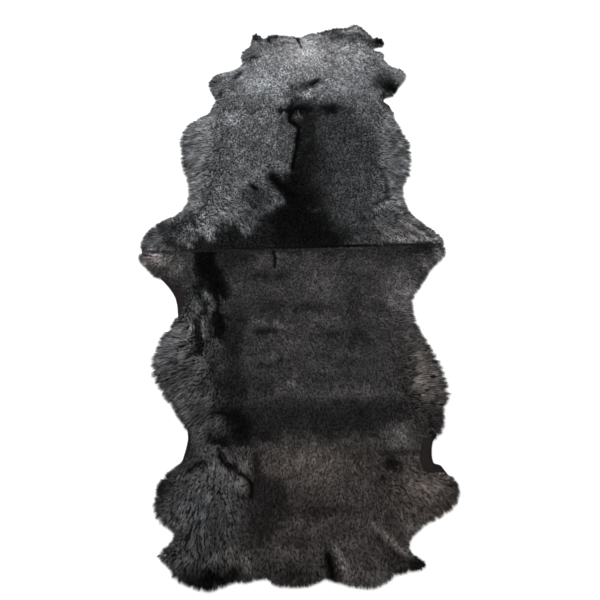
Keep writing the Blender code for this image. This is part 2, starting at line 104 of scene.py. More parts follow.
UPPER_PATCHES = (
    # The pale neck is partly the dye and partly painted sheen of light off the far end's wool.
    Patch("pale neck", 30, 780, 190, 120, 148),
    Patch("pale right of the neck", 200, 770, 90, 80, 140),
    Patch("palest streak of the neck", 44, 780, 46, 110, 166),
    Patch("below the neck", -30, 702, 100, 30, 130),
    Patch("neck, left", -96, 826, 44, 50, 116),
    Patch("neck's left edge", -160, 800, 26, 50, 94),
    Patch("neck's right edge", 285, 745, 30, 30, 112),
    Patch("neck's left point", -138, 882, 16, 26, 44),
    Patch("spot below the left point", -140, 766, 28, 11, 36),
    Patch("tuft by the notch", -70, 884, 20, 18, 30),
    Patch("flecks at the top", 148, 892, 28, 28, 50),
    Patch("fleck at the top, left", 108, 894, 10, 14, 36),
    Patch("shade below the flecks", 136, 874, 28, 14, 88),
    Patch("shade by the shank", 240, 876, 24, 22, 76),
    Patch("shade right of the flecks", 200, 852, 18, 20, 92),
    Patch("fleck by the shank", 203, 865, 6, 12, 64, 20),
    Patch("top right", 205, 915, 40, 22, 128),
    Patch("curled shank", 296, 856, 26, 24, 16),
    Patch("neck of the curled shank", 264, 846, 14, 14, 54),
    Patch("flecks in the neck", 130, 781, 18, 8, 88, 20),
    Patch("flecks in the neck, lower", 128, 745, 24, 9, 96),
    Patch("left shoulder", -120, 640, 120, 70, 148),
    Patch("left shoulder, shade", -204, 618, 40, 30, 92),
    Patch("left fore leg", -262, 650, 20, 18, 60),
    Patch("left fore leg, below", -246, 590, 14, 16, 58),
    Patch("left armpit", -184, 680, 15, 17, 44),
    Patch("left armpit, tail", -192, 663, 16, 8, 66, 20),
    Patch("pale above the dark patch", -42, 560, 30, 26, 120),
    Patch("right shoulder", 160, 640, 110, 70, 124),
    Patch("pale spot below the hollow", 46, 584, 24, 17, 142),
    Patch("shade above the right half", 180, 560, 70, 16, 92),
    Patch("right fore leg", 352, 694, 28, 28, 118),
    # Painted shade in the hollow of the right fore leg, darkest in its depth.
    Patch("hollow of the right fore leg", 304, 640, 42, 34, 44),
    Patch("deep of that hollow", 325, 622, 28, 26, 10, 20),
    # Painted shade in the hollow behind the neck.
    Patch("hollow behind the neck", 34, 627, 40, 19, 78, 14),
    Patch("shade left of the hollow", -4, 600, 15, 40, 80),
    Patch("fleck", 12, 560, 12, 14, 40, 30),
    Patch("fleck, right", 66, 566, 7, 16, 48),
    Patch("dark patch on the back", 18, 513, 50, 25, 8, 8),
    Patch("dark patch, left end", -34, 506, 28, 12, 22),
    Patch("between the dark patches", 84, 510, 18, 18, 40),
    Patch("dark spot on the back", 124, 516, 32, 26, 14),
    Patch("grey right of the dark spot", 168, 506, 24, 20, 52),
    Patch("grey in the right half", 130, 420, 40, 60, 56),
    Patch("grey step in the parting", 14, 476, 16, 22, 66),
    Patch("back of the right half", 195, 400, 40, 40, 52),
    Patch("fleck on the right half", 252, 498, 14, 8, 58),
    Patch("pale spot by the right notch", 290, 486, 26, 34, 104),
    Patch("right flank", 330, 320, 52, 150, 66),
    Patch("right flank, fleck", 326, 415, 20, 10, 56, 30),
    Patch("right flank, fleck low", 352, 308, 12, 8, 58),
    Patch("pale left of the middle", -96, 480, 40, 70, 99),
    Patch("beside the parting", -24, 400, 22, 70, 79),
    Patch("pale left flank", -262, 430, 60, 60, 100),
    Patch("pale by the shoulder", -196, 474, 58, 46, 114),
    Patch("left of the parting, low", -60, 290, 50, 40, 80),
    Patch("left flank's rim", -334, 296, 42, 130, 62),
    Patch("dapple on the left flank", -256, 262, 30, 34, 70),
    Patch("dapple on the left", -200, 398, 26, 14, 78),
    Patch("dapple beside it", -134, 364, 22, 18, 76),
    Patch("dapple in the middle left", -132, 502, 20, 16, 74),
    Patch("dapple by the shoulder, low", -190, 516, 26, 12, 86),
    Patch("dapple at the shoulder", -232, 535, 30, 14, 92),
    Patch("shade at the left waist", -268, 160, 20, 18, 72),
    Patch("grey above the black", -20, 232, 12, 10, 50),
    Patch("pale curl in the black", 72, 100, 24, 9, 44),
    Patch("pale below the curl", 112, 68, 16, 8, 48, 30),
    Patch("right of the black", 214, 40, 34, 70, 50),
    Patch("pale in the right half, low", 206, 214, 30, 40, 66),
    Patch("pale in the right half, inner", 104, 226, 26, 34, 44),
    Patch("left flap", -404, 16, 40, 40, 66),
    Patch("left flap, inner", -314, 30, 28, 50, 64),
    Patch("left flap, middle", -352, 34, 28, 30, 40),
    Patch("left flap's corner", -428, -38, 16, 12, 36),
    Patch("right flap", 290, 56, 70, 54, 62),
    Patch("right flap, outer", 350, 50, 40, 30, 86),
    Patch("right flap's end", 412, -8, 34, 30, 92),
)

UPPER_STROKES = (
    # Painted shade at the deep end of the hollow behind the neck.
    Stroke("dark end of the hollow", 12, 14, ((78, 650), (68, 637), (54, 628))),
    Stroke("lower rim of the hollow", 6, 58, ((54, 626), (32, 613), (14, 611))),
    Stroke("parting on the back, top", 8, 8, ((-8, 530), (-11, 496), (-12, 462), (0, 450))),
    Stroke("parting on the back", 7, 2, ((2, 450), (18, 430), (13, 400), (12, 350), (5, 310), (-1, 262))),
    Stroke("slit above the dark patch", 6, 20, ((-6, 556), (-2, 526))),
    Stroke("slit in the neck", 6, 10, ((8, 884), (17, 852))),
    Stroke("slit in the neck, end", 4, 66, ((17, 852), (26, 824))),
    Stroke("slit by the tuft", 6, 10, ((-89, 876), (-87, 850))),
    # Painted shade in the crease under the tuft.
    Stroke("fold under the tuft", 5, 74, ((-84, 845), (-66, 836), (-46, 832), (-34, 852))),
    Stroke("black wedge", 20, 7, ((-62, 224), (-46, 202), (-26, 178), (-6, 156))),
    Stroke("pale streak beside the wedge", 6, 74, ((-104, 206), (-80, 184), (-54, 152), (-30, 124))),
    Stroke("fleck left of the wedge", 8, 5, ((-122, 188), (-110, 176))),
    Stroke("pale tongue at the left", 13, 98, ((-290, 120), (-266, 62), (-244, 14), (-232, -8))),
    Stroke("pale tongue at the right", 10, 76, ((-186, 120), (-160, 70), (-142, 32), (-130, 14))),
    Stroke("shade beside the left tongue", 7, 52, ((-300, 92), (-290, 56), (-280, 30))),
    Stroke("shade of the left flap", 15, 42, ((-380, 40), (-364, 8), (-350, -20))),
    Stroke("shade along the left flap", 11, 36, ((-345, -30), (-310, -38))),
    Stroke("inner line of the right flank", 6, 44, ((268, 250), (278, 220), (284, 180), (280, 148))),
    Stroke("shade below that line", 9, 40, ((284, 146), (262, 132), (244, 118))),
    Stroke("pale line above the right flap", 7, 98, ((240, 94), (270, 112), (300, 140))),
    Stroke("shade beside the pale line", 6, 50, ((318, 110), (338, 98), (352, 92))),
    Stroke("shade across the right flap", 8, 56, ((362, 44), (384, 26), (392, 4))),
    Stroke("pale ridge on the right flap", 9, 112, ((306, -8), (350, -12), (398, -8))),
    # Painted shade in the fold of the right fore leg's notch.
    Stroke("notch of the right fore leg", 9, 18, ((300, 590), (296, 570), (306, 548), (320, 526))),
    Stroke("crease of the left fore leg", 4, 112, ((-250, 562), (-212, 548), (-176, 538))),
    # Painted shade in the groove of the seam.
    Stroke("seam", 2.5, 6, ((-60, -38), (0, -36), (150, -30), (240, -27))),
    Stroke("pale rim above the seam", 3, 62, ((150, -23), (240, -20), (270, -18))),
    # Painted shadow along the seam where the right flap overhangs the lower pelt.
    Stroke("shade of the right flap's seam", 5, 26, ((262, -24), (330, -26), (396, -20))),
)

LOWER_AREAS = (
    Area("shade right of the black band", 22, 30, (
        (-215, -45), (-104, -42), (-102, -78), (-150, -112), (-190, -118))),
    Area("black band", 14, 8, (
        (-284, -30), (-276, -80), (-272, -120), (-254, -160), (-240, -188), (-216, -205), (-206, -235),
        (-214, -262), (-215, -300), (-202, -334), (-172, -338), (-166, -300), (-170, -266), (-200, -252),
        (-192, -216), (-168, -200), (-180, -160), (-196, -115), (-212, -92), (-212, -42))),
    # Painted shade across the middle of the lower pelt.
    Area("dark band", 20, 31, (
        (-112, -522), (-50, -512), (50, -514), (180, -506), (300, -510), (306, -548), (242, -560),
        (214, -600), (100, -606), (0, -600), (-90, -606))),
    # Painted shade in the hollow above the whorl.
    Area("hollow above the whorl", 15, 11, (
        (-192, -536), (-160, -520), (-128, -518), (-106, -545), (-92, -566), (-92, -604), (-102, -624),
        (-130, -618), (-150, -588), (-152, -562), (-190, -552))),
    Area("shade right of the whorl", 16, 29, (
        (-92, -704), (-12, -702), (-2, -790), (-52, -848), (-96, -856), (-104, -764))),
)

LOWER_PATCHES = (
    # Painted shade below the seam, where the upper pelt's wool overhangs the lower.
    Patch("shade below the seam", 60, -52, 200, 14, 38),
    Patch("right of the middle, pale", 210, -104, 60, 26, 58),
    Patch("left flap", -380, -78, 56, 22, 112, -25),
    Patch("left flap, inner", -322, -98, 30, 40, 72),
    Patch("left flap, inner shade", -292, -110, 14, 40, 50),
    Patch("shade at the left bay", -336, -143, 30, 6, 36, -10),
    Patch("fleck in the left flap", -312, -64, 9, 7, 36),
    Patch("left waist", -280, -170, 22, 30, 48),
    Patch("left waist, dark", -250, -176, 18, 44, 16),
    Patch("tuft in the left waist", -232, -206, 10, 12, 66, 20),
    Patch("tuft beside it", -262, -218, 9, 14, 50),
    Patch("grey in the black band", -182, -236, 16, 18, 38),
    Patch("shade right of the band, low", -146, -270, 26, 60, 34),
    Patch("pale above the left flank", -278, -306, 26, 36, 82, 20),
    Patch("left flank", -312, -374, 48, 54, 67),
    Patch("left flank, inner", -232, -400, 24, 24, 74),
    Patch("left flank, dark dapple", -302, -428, 20, 32, 38),
    Patch("left flank, middle", -255, -450, 40, 50, 52),
    Patch("left flank, lower", -262, -520, 34, 30, 56),
    Patch("left flank, inner dapple", -198, -424, 14, 26, 34),
    Patch("left thigh", -214, -584, 36, 40, 48),
    Patch("right of the black band", -150, -350, 30, 70, 30),
    Patch("beside the left flank", -146, -470, 46, 60, 26),
    Patch("pale below the seam", -62, -84, 44, 26, 58),
    Patch("smudge left of the slit", -80, -132, 28, 14, 34),
    Patch("smudge right of the slit", -30, -136, 18, 14, 32),
    Patch("pale middle, top", 70, -92, 52, 24, 58),
    Patch("pale middle", 88, -165, 56, 56, 67),
    Patch("pale middle, left", -15, -180, 44, 18, 58),
    Patch("smudge in the middle", -52, -236, 40, 22, 35),
    Patch("smudge across the middle", 44, -238, 60, 12, 36),
    Patch("pale smudge", 86, -278, 46, 18, 64),
    Patch("pale streak in the middle", -50, -290, 46, 11, 72, -8),
    Patch("pale patch in the middle", 18, -352, 50, 26, 64),
    Patch("dark smudge", -72, -312, 28, 12, 25),
    Patch("dark smudge, right", 112, -320, 28, 12, 31),
    Patch("upright shade", 164, -225, 22, 66, 42),
    Patch("upright shade, low", 172, -330, 30, 36, 37),
    Patch("fleck in the right", 178, -148, 22, 22, 46),
    Patch("pale right waist", 300, -190, 56, 90, 82),
    Patch("right of the middle", 235, -240, 24, 26, 46),
    # Painted shadow under the right flap, which overhangs the lower pelt.
    Patch("shade under the right flap", 330, -48, 70, 16, 38),
    Patch("dark under the right flap", 372, -40, 30, 14, 24),
    Patch("spot below the right flap", 278, -62, 32, 26, 40),
    Patch("right flap's end", 416, -56, 26, 22, 90),
    Patch("right flap, below", 380, -92, 26, 16, 76),
    Patch("right flank, above", 300, -320, 30, 50, 58),
    Patch("ring in the middle", -56, -392, 20, 16, 60),
    Patch("smudge below the ring", -66, -470, 30, 20, 38),
    Patch("pale fleck", 6, -444, 13, 10, 96, -30),
    Patch("pale fleck, low", 0, -464, 11, 12, 88, 30),
    Patch("shade above the pale stripe", 80, -448, 120, 14, 43),
    Patch("pale stripe", 130, -484, 130, 16, 60),
    Patch("smudge above the dark band", 140, -404, 60, 16, 43),
    Patch("right flank, pale column", 322, -434, 20, 66, 76, -4),
    Patch("right flank, outer", 370, -424, 26, 74, 52),
    Patch("right flank, inner shade", 290, -462, 22, 50, 40),
    Patch("right flank, low", 350, -536, 30, 30, 32),
    Patch("spot at the right bay", 338, -573, 9, 8, 12),
    Patch("pale spot of the right leg", 266, -604, 32, 34, 72),
    Patch("shade above that spot", 236, -552, 40, 14, 32),
    # Painted shade below the hollow above the whorl.
    Patch("below the hollow", -168, -614, 32, 20, 13),
    Patch("pale tuft above the whorl", -196, -640, 18, 24, 68, 30),
    Patch("pale band", 40, -670, 110, 38, 68),
    Patch("pale band, left", -46, -660, 26, 30, 56),
    Patch("left of the pale band, above", -56, -598, 34, 16, 26),
    Patch("pressed patch of the right leg", 236, -672, 24, 19, 14),
    Patch("fleck below it", 214, -703, 18, 9, 22, 10),
    Patch("right of the pale band", 180, -650, 40, 24, 48),
    Patch("left hind leg", -200, -735, 76, 64, 56),
    Patch("left hind leg, outer top", -250, -700, 26, 22, 52),
    Patch("left hind leg, top", -176, -684, 22, 28, 76, 10),
    Patch("tuft inside the whorl", -134, -716, 32, 18, 76, -10),
    Patch("tuft inside the ring", -106, -681, 13, 11, 62),
    Patch("left rim of the hind leg", -304, -716, 17, 26, 12),
    Patch("left rim of the hind leg, low", -306, -757, 11, 24, 26),
    Patch("fleck below the tuft", -108, -746, 14, 6, 24),
    Patch("pale patch low in the middle", 50, -712, 50, 22, 62),
    Patch("smudge low in the middle", 70, -780, 76, 17, 33),
    Patch("pale in the right hind leg", 316, -726, 48, 40, 80),
    Patch("right hind leg, lower edge", 282, -806, 44, 24, 70, 30),
    Patch("left end", -190, -868, 46, 28, 52),
    Patch("left end's point", -276, -880, 18, 12, 66),
    Patch("left end, dark rim", -170, -926, 66, 22, 6),
    Patch("left end, rim at the left", -222, -908, 30, 14, 32),
    Patch("slit right of the left end", -122, -924, 9, 14, 10, -30),
    Patch("pale lobe", -92, -892, 14, 22, 62),
    Patch("end, dark scallop", -6, -916, 56, 20, 32),
    Patch("end, shade", 10, -850, 60, 10, 38),
    Patch("end, pale smudge", 16, -876, 40, 10, 56),
    Patch("lobe right of the pucker", 165, -922, 40, 16, 60),
    Patch("shade above the right shank", 232, -893, 34, 13, 36, -20),
    Patch("right shank", 286, -896, 26, 12, 14),
)

LOWER_STROKES = (
    # Painted shade in the groove of the seam.
    Stroke("seam", 2.5, 6, ((-60, -38), (0, -36), (150, -30), (240, -27))),
    Stroke("pale rim below the seam", 2.5, 52, ((-60, -46), (20, -43), (150, -37), (240, -34))),
    Stroke("slit below the seam", 4.5, 4, ((-54, -50), (-48, -78), (-50, -104))),
    Stroke("dark rim of the left flap", 6, 44, ((-424, -46), (-390, -44), (-350, -46))),
    Stroke("dark streak in the left waist", 7, 22, ((-236, -222), (-228, -246), (-240, -262))),
    Stroke("dark streak in the left flank", 13, 16, ((-250, -284), (-246, -320), (-236, -352), (-240, -374))),
    Stroke("pale streak in the dark one", 4, 72, ((-238, -272), (-234, -300), (-230, -330))),
    Stroke("pale streak right of the dark", 5, 60, ((-196, -336), (-190, -356))),
    Stroke("ring in the middle", 5, 34, ((-80, -404), (-62, -418), (-38, -410), (-26, -392))),
    Stroke("inner line of the right flank", 8, 34, ((318, -398), (310, -420), (316, -440))),
    Stroke("parting round the whorl", 8, 12, ((-168, -652), (-154, -674), (-132, -682))),
    Stroke("parting right of the whorl", 12, 24, ((-84, -650), (-80, -684), (-78, -704))),
    # Painted shade in the folds of the whorl's pile.
    Stroke("crease of the whorl", 4.5, 4, ((-122, -694), (-98, -708), (-89, -726), (-92, -750))),
    Stroke("crease left of the whorl", 6, 16, ((-242, -690), (-226, -676), (-206, -668))),
    Stroke("fold of the right hind leg", 7, 34, ((216, -646), (258, -644), (296, -640))),
    Stroke("upper edge of the right hind leg", 7, 96, ((306, -656), (340, -680), (372, -700))),
    Stroke("ridge to the right shank", 8, 84, ((186, -814), (216, -840), (248, -868), (262, -878))),
    # Painted shadow beside the ridge to the right shank.
    Stroke("shade beside the ridge", 9, 34, ((196, -846), (222, -872), (252, -892))),
    # Painted shade in the deep fold of the tail end's pucker.
    Stroke("pucker in the tail end", 10, 5, ((83, -880), (89, -904), (94, -926))),
    Stroke("ridge beside the pucker", 9, 84, ((104, -868), (118, -896), (126, -926))),
)

# Warmth is how brown the wool is, from 0 for blue grey to 1 for brown. Tone holds it here.
UPPER_WARM_PATCHES = (
    Patch("neck, neutral", 60, 790, 170, 120, 0.22),
    Patch("right flap, neutral", 350, 10, 110, 70, 0.35),
)
LOWER_WARM_PATCHES = (
    Patch("hind part, warm", 70, -790, 420, 180, 0.75),
    Patch("pale band, warm", 50, -664, 170, 50, 1.0),
    Patch("right flank, warm", 350, -450, 70, 140, 0.75),
    Patch("right hind leg, warm", 310, -730, 100, 100, 1.0),
    Patch("left hind leg, cool", -215, -770, 110, 130, 0.1),
    Patch("left flank, cool", -290, -400, 110, 170, 0.15),
    Patch("black band, cool", -236, -160, 60, 150, 0.05),
    Patch("left flap, warm", -390, -80, 50, 24, 0.6),
)

# How the wool lies: heading in degrees from +X, how far its tips lean, how long and stringy
# it is from 0 to 1, and how strongly it parts into dark dashes.
Lie = namedtuple("Lie", "name x y radius_x radius_y heading lean locks grain")
BASE_LIES = {
    "upper": Lie("pelt", 0, 0, 0, 0, -92, 9.0, 0.0, 0.75),
    "lower": Lie("pelt", 0, 0, 0, 0, -84, 9.0, 0.0, 0.4),
}

UPPER_LIES = (
    Lie("neck", 20, 800, 180, 120, -88, 9.0, 0.0, 0.20),
    Lie("left shoulder", -170, 640, 110, 80, -125, 9.0, 0.0, 0.50),
    Lie("right shoulder", 190, 650, 110, 80, -55, 9.0, 0.0, 0.50),
    Lie("above the seam, left", -200, 70, 150, 100, -66, 11.0, 0.3, 0.90),
    Lie("left flank", -300, 330, 70, 190, 178, 14.0, 0.6, 1.35),
    Lie("right flank", 320, 320, 60, 180, -4, 14.0, 0.6, 1.60),
    Lie("left flap", -380, 20, 60, 50, 200, 11.0, 0.4, 1.00),
    Lie("right flap", 330, 40, 100, 60, -28, 12.0, 0.4, 0.8),
    Lie("swept back tongue", -50, 190, 40, 60, -50, 11.0, 0.3, 0.7),
    Lie("left of the parting", -24, 400, 26, 90, 190, 7.0, 0.1, 0.70),
    Lie("right of the parting", 40, 400, 26, 90, -20, 7.0, 0.1, 0.60),
)
LOWER_LIES = (
    Lie("left flank", -300, -390, 90, 150, 200, 14.0, 0.9, 1.6),
    Lie("left waist", -240, -230, 60, 110, -84, 15.0, 0.9, 1.50),
    Lie("left flank, low", -240, -530, 80, 80, 220, 14.0, 0.8, 1.35),
    Lie("around the whorl", -150, -660, 60, 50, -60, 13.0, 0.7, 1.10),
    Lie("left hind leg", -215, -790, 90, 110, -100, 13.0, 0.7, 1.35),
    Lie("left end", -200, -900, 110, 50, -110, 13.0, 0.7, 1.20),
    Lie("right flank", 345, -450, 56, 130, 0, 13.0, 0.7, 1.60),
    Lie("right hind leg", 310, -740, 90, 70, -25, 11.0, 0.4, 0.7),
    Lie("tail end", 60, -910, 200, 40, -90, 10.0, 0.3, 0.5),
    Lie("left flap", -390, -70, 60, 40, 200, 11.0, 0.4, 1.00),
)

AREAS = {"upper": UPPER_AREAS, "lower": LOWER_AREAS}
PATCHES = {"upper": UPPER_PATCHES, "lower": LOWER_PATCHES}
STROKES = {"upper": UPPER_STROKES, "lower": LOWER_STROKES}
WARM_PATCHES = {"upper": UPPER_WARM_PATCHES, "lower": LOWER_WARM_PATCHES}
LIES = {"upper": UPPER_LIES, "lower": LOWER_LIES}


def linear(hex_colour):
    """An sRGB hex colour as linear red, green and blue."""
    channels = [int(hex_colour[start:start + 2], 16) / 255.0 for start in (1, 3, 5)]
    return tuple(c / 12.92 if c <= 0.04045 else ((c + 0.055) / 1.055) ** 2.4 for c in channels)


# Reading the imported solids


class Field:
    """Values on an even grid over a pelt, read between its points."""

    def __init__(self, low, cell, values):
        self.low = low
        self.cell = cell
        self.values = values

    def read(self, x, y):
        """Values at places, straight between the grid's points."""
        rows, columns = self.values.shape
        across = np.clip((x - self.low[0]) / self.cell, 0.0, columns - 1.001)
        along = np.clip((y - self.low[1]) / self.cell, 0.0, rows - 1.001)
        column = across.astype(int)
        row = along.astype(int)
        right = across - column
        up = along - row
        near = self.values[row, column] * (1.0 - right) + self.values[row, column + 1] * right
        far = self.values[row + 1, column] * (1.0 - right) + self.values[row + 1, column + 1] * right
        return near * (1.0 - up) + far * up


def solid_of(node):
    """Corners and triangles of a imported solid, with each place held once."""
    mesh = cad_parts[node].data
    mesh.calc_loop_triangles()
    places = np.empty(len(mesh.vertices) * 3)
    mesh.vertices.foreach_get("co", places)
    places = places.reshape(-1, 3)
    corners = np.empty(len(mesh.loop_triangles) * 3, int)
    mesh.loop_triangles.foreach_get("vertices", corners)
    single, back = np.unique(np.round(places, 6), axis=0, return_inverse=True)
    return single, back.reshape(-1)[corners].reshape(-1, 3)


def level_outline(places, triangles, height):
    """The closed outline of a solid's level face at a height, as places in order."""
    level = np.abs(places[:, 2] - height) < LEVEL_WITHIN
    faces = triangles[level[triangles].all(1)]
    edges = {(a, b) for face in faces for a, b in zip(face, np.roll(face, -1))}
    after = {a: b for a, b in edges if (b, a) not in edges}
    start = next(iter(sorted(after)))
    loop = [start]
    while after[loop[-1]] != start:
        loop.append(after[loop[-1]])
    return places[loop, :2]


def nearest_on_outline(x, y, starts, ends):
    """Distance from places to the nearest of many lines, and which line it is."""
    best = np.full(x.shape, np.inf)
    which = np.zeros(x.shape, int)
    for index, (start, end) in enumerate(zip(starts, ends)):
        step = end - start
        share = ((x - start[0]) * step[0] + (y - start[1]) * step[1]) / (step @ step)
        share = np.clip(share, 0.0, 1.0)
        distance = np.hypot(x - start[0] - share * step[0], y - start[1] - share * step[1])
        closer = distance < best
        best[closer] = distance[closer]
        which[closer] = index
    return best, which


def inside_outline(x, y, outline):
    """Whether places are inside a closed outline."""
    found = np.zeros(x.shape, bool)
    for start, end in zip(outline, np.roll(outline, -1, 0)):
        if start[1] != end[1]:
            crossing = start[0] + (y - start[1]) / (end[1] - start[1]) * (end[0] - start[0])
            found ^= ((start[1] > y) != (end[1] > y)) & (x < crossing)
    return found


LEVEL_WITHIN = 0.02 * MM
TIP_BELOW = 0.1 * MM
SEAM_CORNER = 25.0 * MM
HALF_SEAM_GAP = 0.15 * MM


class Pelt:
    """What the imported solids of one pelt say: outlines, heights and how far its rim reaches."""

    CELL = 4.0 * MM
    MARGIN = 44.0 * MM
    SEAM_NEAR = 3.0 * MM
    LOCK_NEAR = 22.0 * MM
    LOCK_EVEN = 16.0 * MM

    def __init__(self, name):
        self.name = name
        self.node = name + "_wool"
        self.skin_node = name + "_skin"
        places, triangles = solid_of(self.node)
        skin_places, skin_triangles = solid_of(self.skin_node)
        self.skin_top = skin_places[:, 2].max()
        self.base = min(z for z in places[:, 2] if z > self.skin_top)
        self.outline = level_outline(places, triangles, self.base)
        self.skin_outline = level_outline(skin_places, skin_triangles, 0.0)
        self.lay_grid(places)
        self.measure_rim(places)
        self.measure_height(places, triangles)

    def lay_grid(self, places):
        """An even grid over the pelt, with a margin for the fringe."""
        self.low = places[:, :2].min(0) - self.MARGIN
        high = places[:, :2].max(0) + self.MARGIN
        columns, rows = np.ceil((high - self.low) / self.CELL).astype(int) + 1
        self.grid_x, self.grid_y = np.meshgrid(self.low[0] + np.arange(columns) * self.CELL,
                                               self.low[1] + np.arange(rows) * self.CELL)

    def field(self, values):
        """Values on the pelt's grid, ready to be read between its points."""
        return Field(self.low, self.CELL, values)

    def measure_rim(self, places):
        """Distance in from the rim, which way is out, and how far locks reach past it."""
        starts = self.outline
        ends = np.roll(starts, -1, 0)
        middles = 0.5 * (starts + ends)
        seam = seam_line(middles[:, 0])
        on_seam = np.abs(middles[:, 1] - seam) < self.SEAM_NEAR
        self.rim_starts = starts[~on_seam]
        self.rim_ends = ends[~on_seam]
        self.inside = inside_outline(self.grid_x, self.grid_y, self.outline)
        distance, which = nearest_on_outline(self.grid_x, self.grid_y, self.rim_starts, self.rim_ends)
        signed = np.where(self.inside, distance, -distance)
        self.rim_distance = self.field(signed)
        slope_y, slope_x = np.gradient(smoothed(signed, 2), self.CELL)
        length = np.maximum(np.hypot(slope_x, slope_y), 0.2)
        self.out_x = self.field(-slope_x / length)
        self.out_y = self.field(-slope_y / length)
        self.reach = self.field(smoothed(self.rim_reach(places)[which], 2))

    def rim_reach(self, places):
        """For each line of the rim, how far the locks near it reach past it, evened along it."""
        tips = places[places[:, 2] < TIP_BELOW][:, :2]
        distance, line = nearest_on_outline(tips[:, 0], tips[:, 1], self.rim_starts, self.rim_ends)
        along = np.cumsum(np.linalg.norm(self.rim_ends - self.rim_starts, axis=1))
        reach = np.zeros(len(along))
        for index, place in enumerate(along):
            near = np.abs(along[line] - place) < self.LOCK_NEAR
            if near.any():
                reach[index] = distance[near].max()
        even = [reach[np.abs(along - place) < self.LOCK_EVEN].mean() for place in along]
        return np.array(even)

    def measure_height(self, places, triangles):
        """Height of the wool's top, and past the rim that of its nearest wall."""
        tree = BVHTree.FromPolygons([Vector(p) for p in places], [list(map(int, t)) for t in triangles])
        heights = np.full(self.grid_x.shape, np.nan)
        down = Vector((0.0, 0.0, -1.0))
        for row, column in zip(*np.nonzero(self.inside)):
            spot = Vector((self.grid_x[row, column], self.grid_y[row, column], 1.0))
            hit = tree.ray_cast(spot, down)[0]
            if hit is not None:
                heights[row, column] = hit.z
        self.height = self.field(filled(heights))


def seam_line(x):
    """Where the two skins meet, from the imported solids: straight between the seam's ends."""
    low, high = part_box("lower_skin")
    skin = np.array([v.co[:2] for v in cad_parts["lower_skin"].data.vertices])
    right = skin[skin[:, 0] > high.x - SEAM_CORNER][:, 1].max()
    left = skin[skin[:, 0] < low.x + SEAM_CORNER][:, 1].max()
    share = (x - low.x) / (high.x - low.x)
    return left + (right - left) * share + HALF_SEAM_GAP


def smoothed(values, rounds):
    """A grid with each value drawn towards its neighbours."""
    for _ in range(rounds):
        padded = np.pad(values, 1, mode="edge")
        values = (padded[:-2, 1:-1] + padded[2:, 1:-1] + padded[1:-1, :-2] + padded[1:-1, 2:]
                  + 4.0 * values) / 8.0
    return values


def filled(values):
    """A grid whose unknown values take those of their nearest known neighbours."""
    values = values.copy()
    while np.isnan(values).any():
        padded = np.pad(values, 1, constant_values=np.nan)
        around = np.stack([padded[:-2, 1:-1], padded[2:, 1:-1], padded[1:-1, :-2], padded[1:-1, 2:]])
        known = ~np.isnan(around)
        count = known.sum(0)
        mean = np.where(known, around, 0.0).sum(0) / np.maximum(count, 1)
        fill = np.isnan(values) & (count > 0)
        values[fill] = mean[fill]
    return values


# Patterns over the rug


def noise(x, y, seed):
    """Soft random values from 0 to 1 on a grid of whole numbers, with smooth steps between."""
    column = np.floor(x)
    row = np.floor(y)
    right = x - column
    up = y - row
    right = right * right * (3.0 - 2.0 * right)
    up = up * up * (3.0 - 2.0 * up)

    def corner(dx, dy):
        key = (column + dx).astype(np.int64) * 374761393 + (row + dy).astype(np.int64) * 668265263
        key = (key + seed * 974634777) & 0xFFFFFFFF
        key = ((key ^ (key >> 13)) * 1274126177) & 0xFFFFFFFF
        return ((key ^ (key >> 16)) & 0xFFFFFF) / float(0xFFFFFF)

    near = corner(0, 0) * (1.0 - right) + corner(1, 0) * right
    far = corner(0, 1) * (1.0 - right) + corner(1, 1) * right
    return near * (1.0 - up) + far * up


def oval_weight(row, x, y):
    """How much of a row's oval covers places: 1 in the middle, fading out at its rim."""
    turn = math.radians(getattr(row, "turn", 0.0))
    right = (x / MM - row.x) * math.cos(turn) + (y / MM - row.y) * math.sin(turn)
    up = (y / MM - row.y) * math.cos(turn) - (x / MM - row.x) * math.sin(turn)
    spread = (right / row.radius_x) ** 2 + (up / row.radius_y) ** 2
    return np.exp(-spread ** 1.5)


def area_weight(area, x, y):
    """How much of an area covers places: 1 inside, fading out across its outline."""
    outline = np.array(area.outline) * MM
    reach = 2.0 * area.soft * MM
    near = ((x > outline[:, 0].min() - reach) & (x < outline[:, 0].max() + reach)
            & (y > outline[:, 1].min() - reach) & (y < outline[:, 1].max() + reach))
    weight = np.zeros(x.shape)
    inside = inside_outline(x[near], y[near], outline)
    distance, _ = nearest_on_outline(x[near], y[near], outline, np.roll(outline, -1, 0))
    share = np.where(inside, distance, -distance) / (area.soft * MM)
    weight[near] = 0.5 + 0.5 * np.tanh(1.5 * share)
    return weight


def stroke_weight(stroke, x, y):
    """How much of a stroke covers places: 1 on its line, fading out at its sides."""
    path = np.array(stroke.path) * MM
    distance, _ = nearest_on_outline(x, y, path[:-1], path[1:])
    return np.exp(-(distance / (stroke.half_width * MM)) ** 2)


WEIGHTS = {Area: area_weight, Patch: oval_weight}


def tone_at(pelt_name, x, y, drag_x=0.0, drag_y=0.0):
    """How light the wool looks at places, from 0 to 255. A drag moves all but the strokes."""
    # A slow wobble of the places keeps the rows' rims uneven.
    wobble_x = x + drag_x
    wobble_y = y + drag_y
    for cell, seed in TONE_WOBBLES:
        wobble_x = wobble_x + TONE_WOBBLE * (noise(x / cell, y / cell, seed) - 0.5)
        wobble_y = wobble_y + TONE_WOBBLE * (noise(x / cell, y / cell, seed + 1) - 0.5)
    tone = np.full(x.shape, float(BASE_TONES[pelt_name]))
    for row in (*AREAS[pelt_name], *PATCHES[pelt_name]):
        tone += (row.tone - tone) * WEIGHTS[type(row)](row, wobble_x, wobble_y)
    for row in STROKES[pelt_name]:
        tone += (row.tone - tone) * stroke_weight(row, x, y)
    return tone


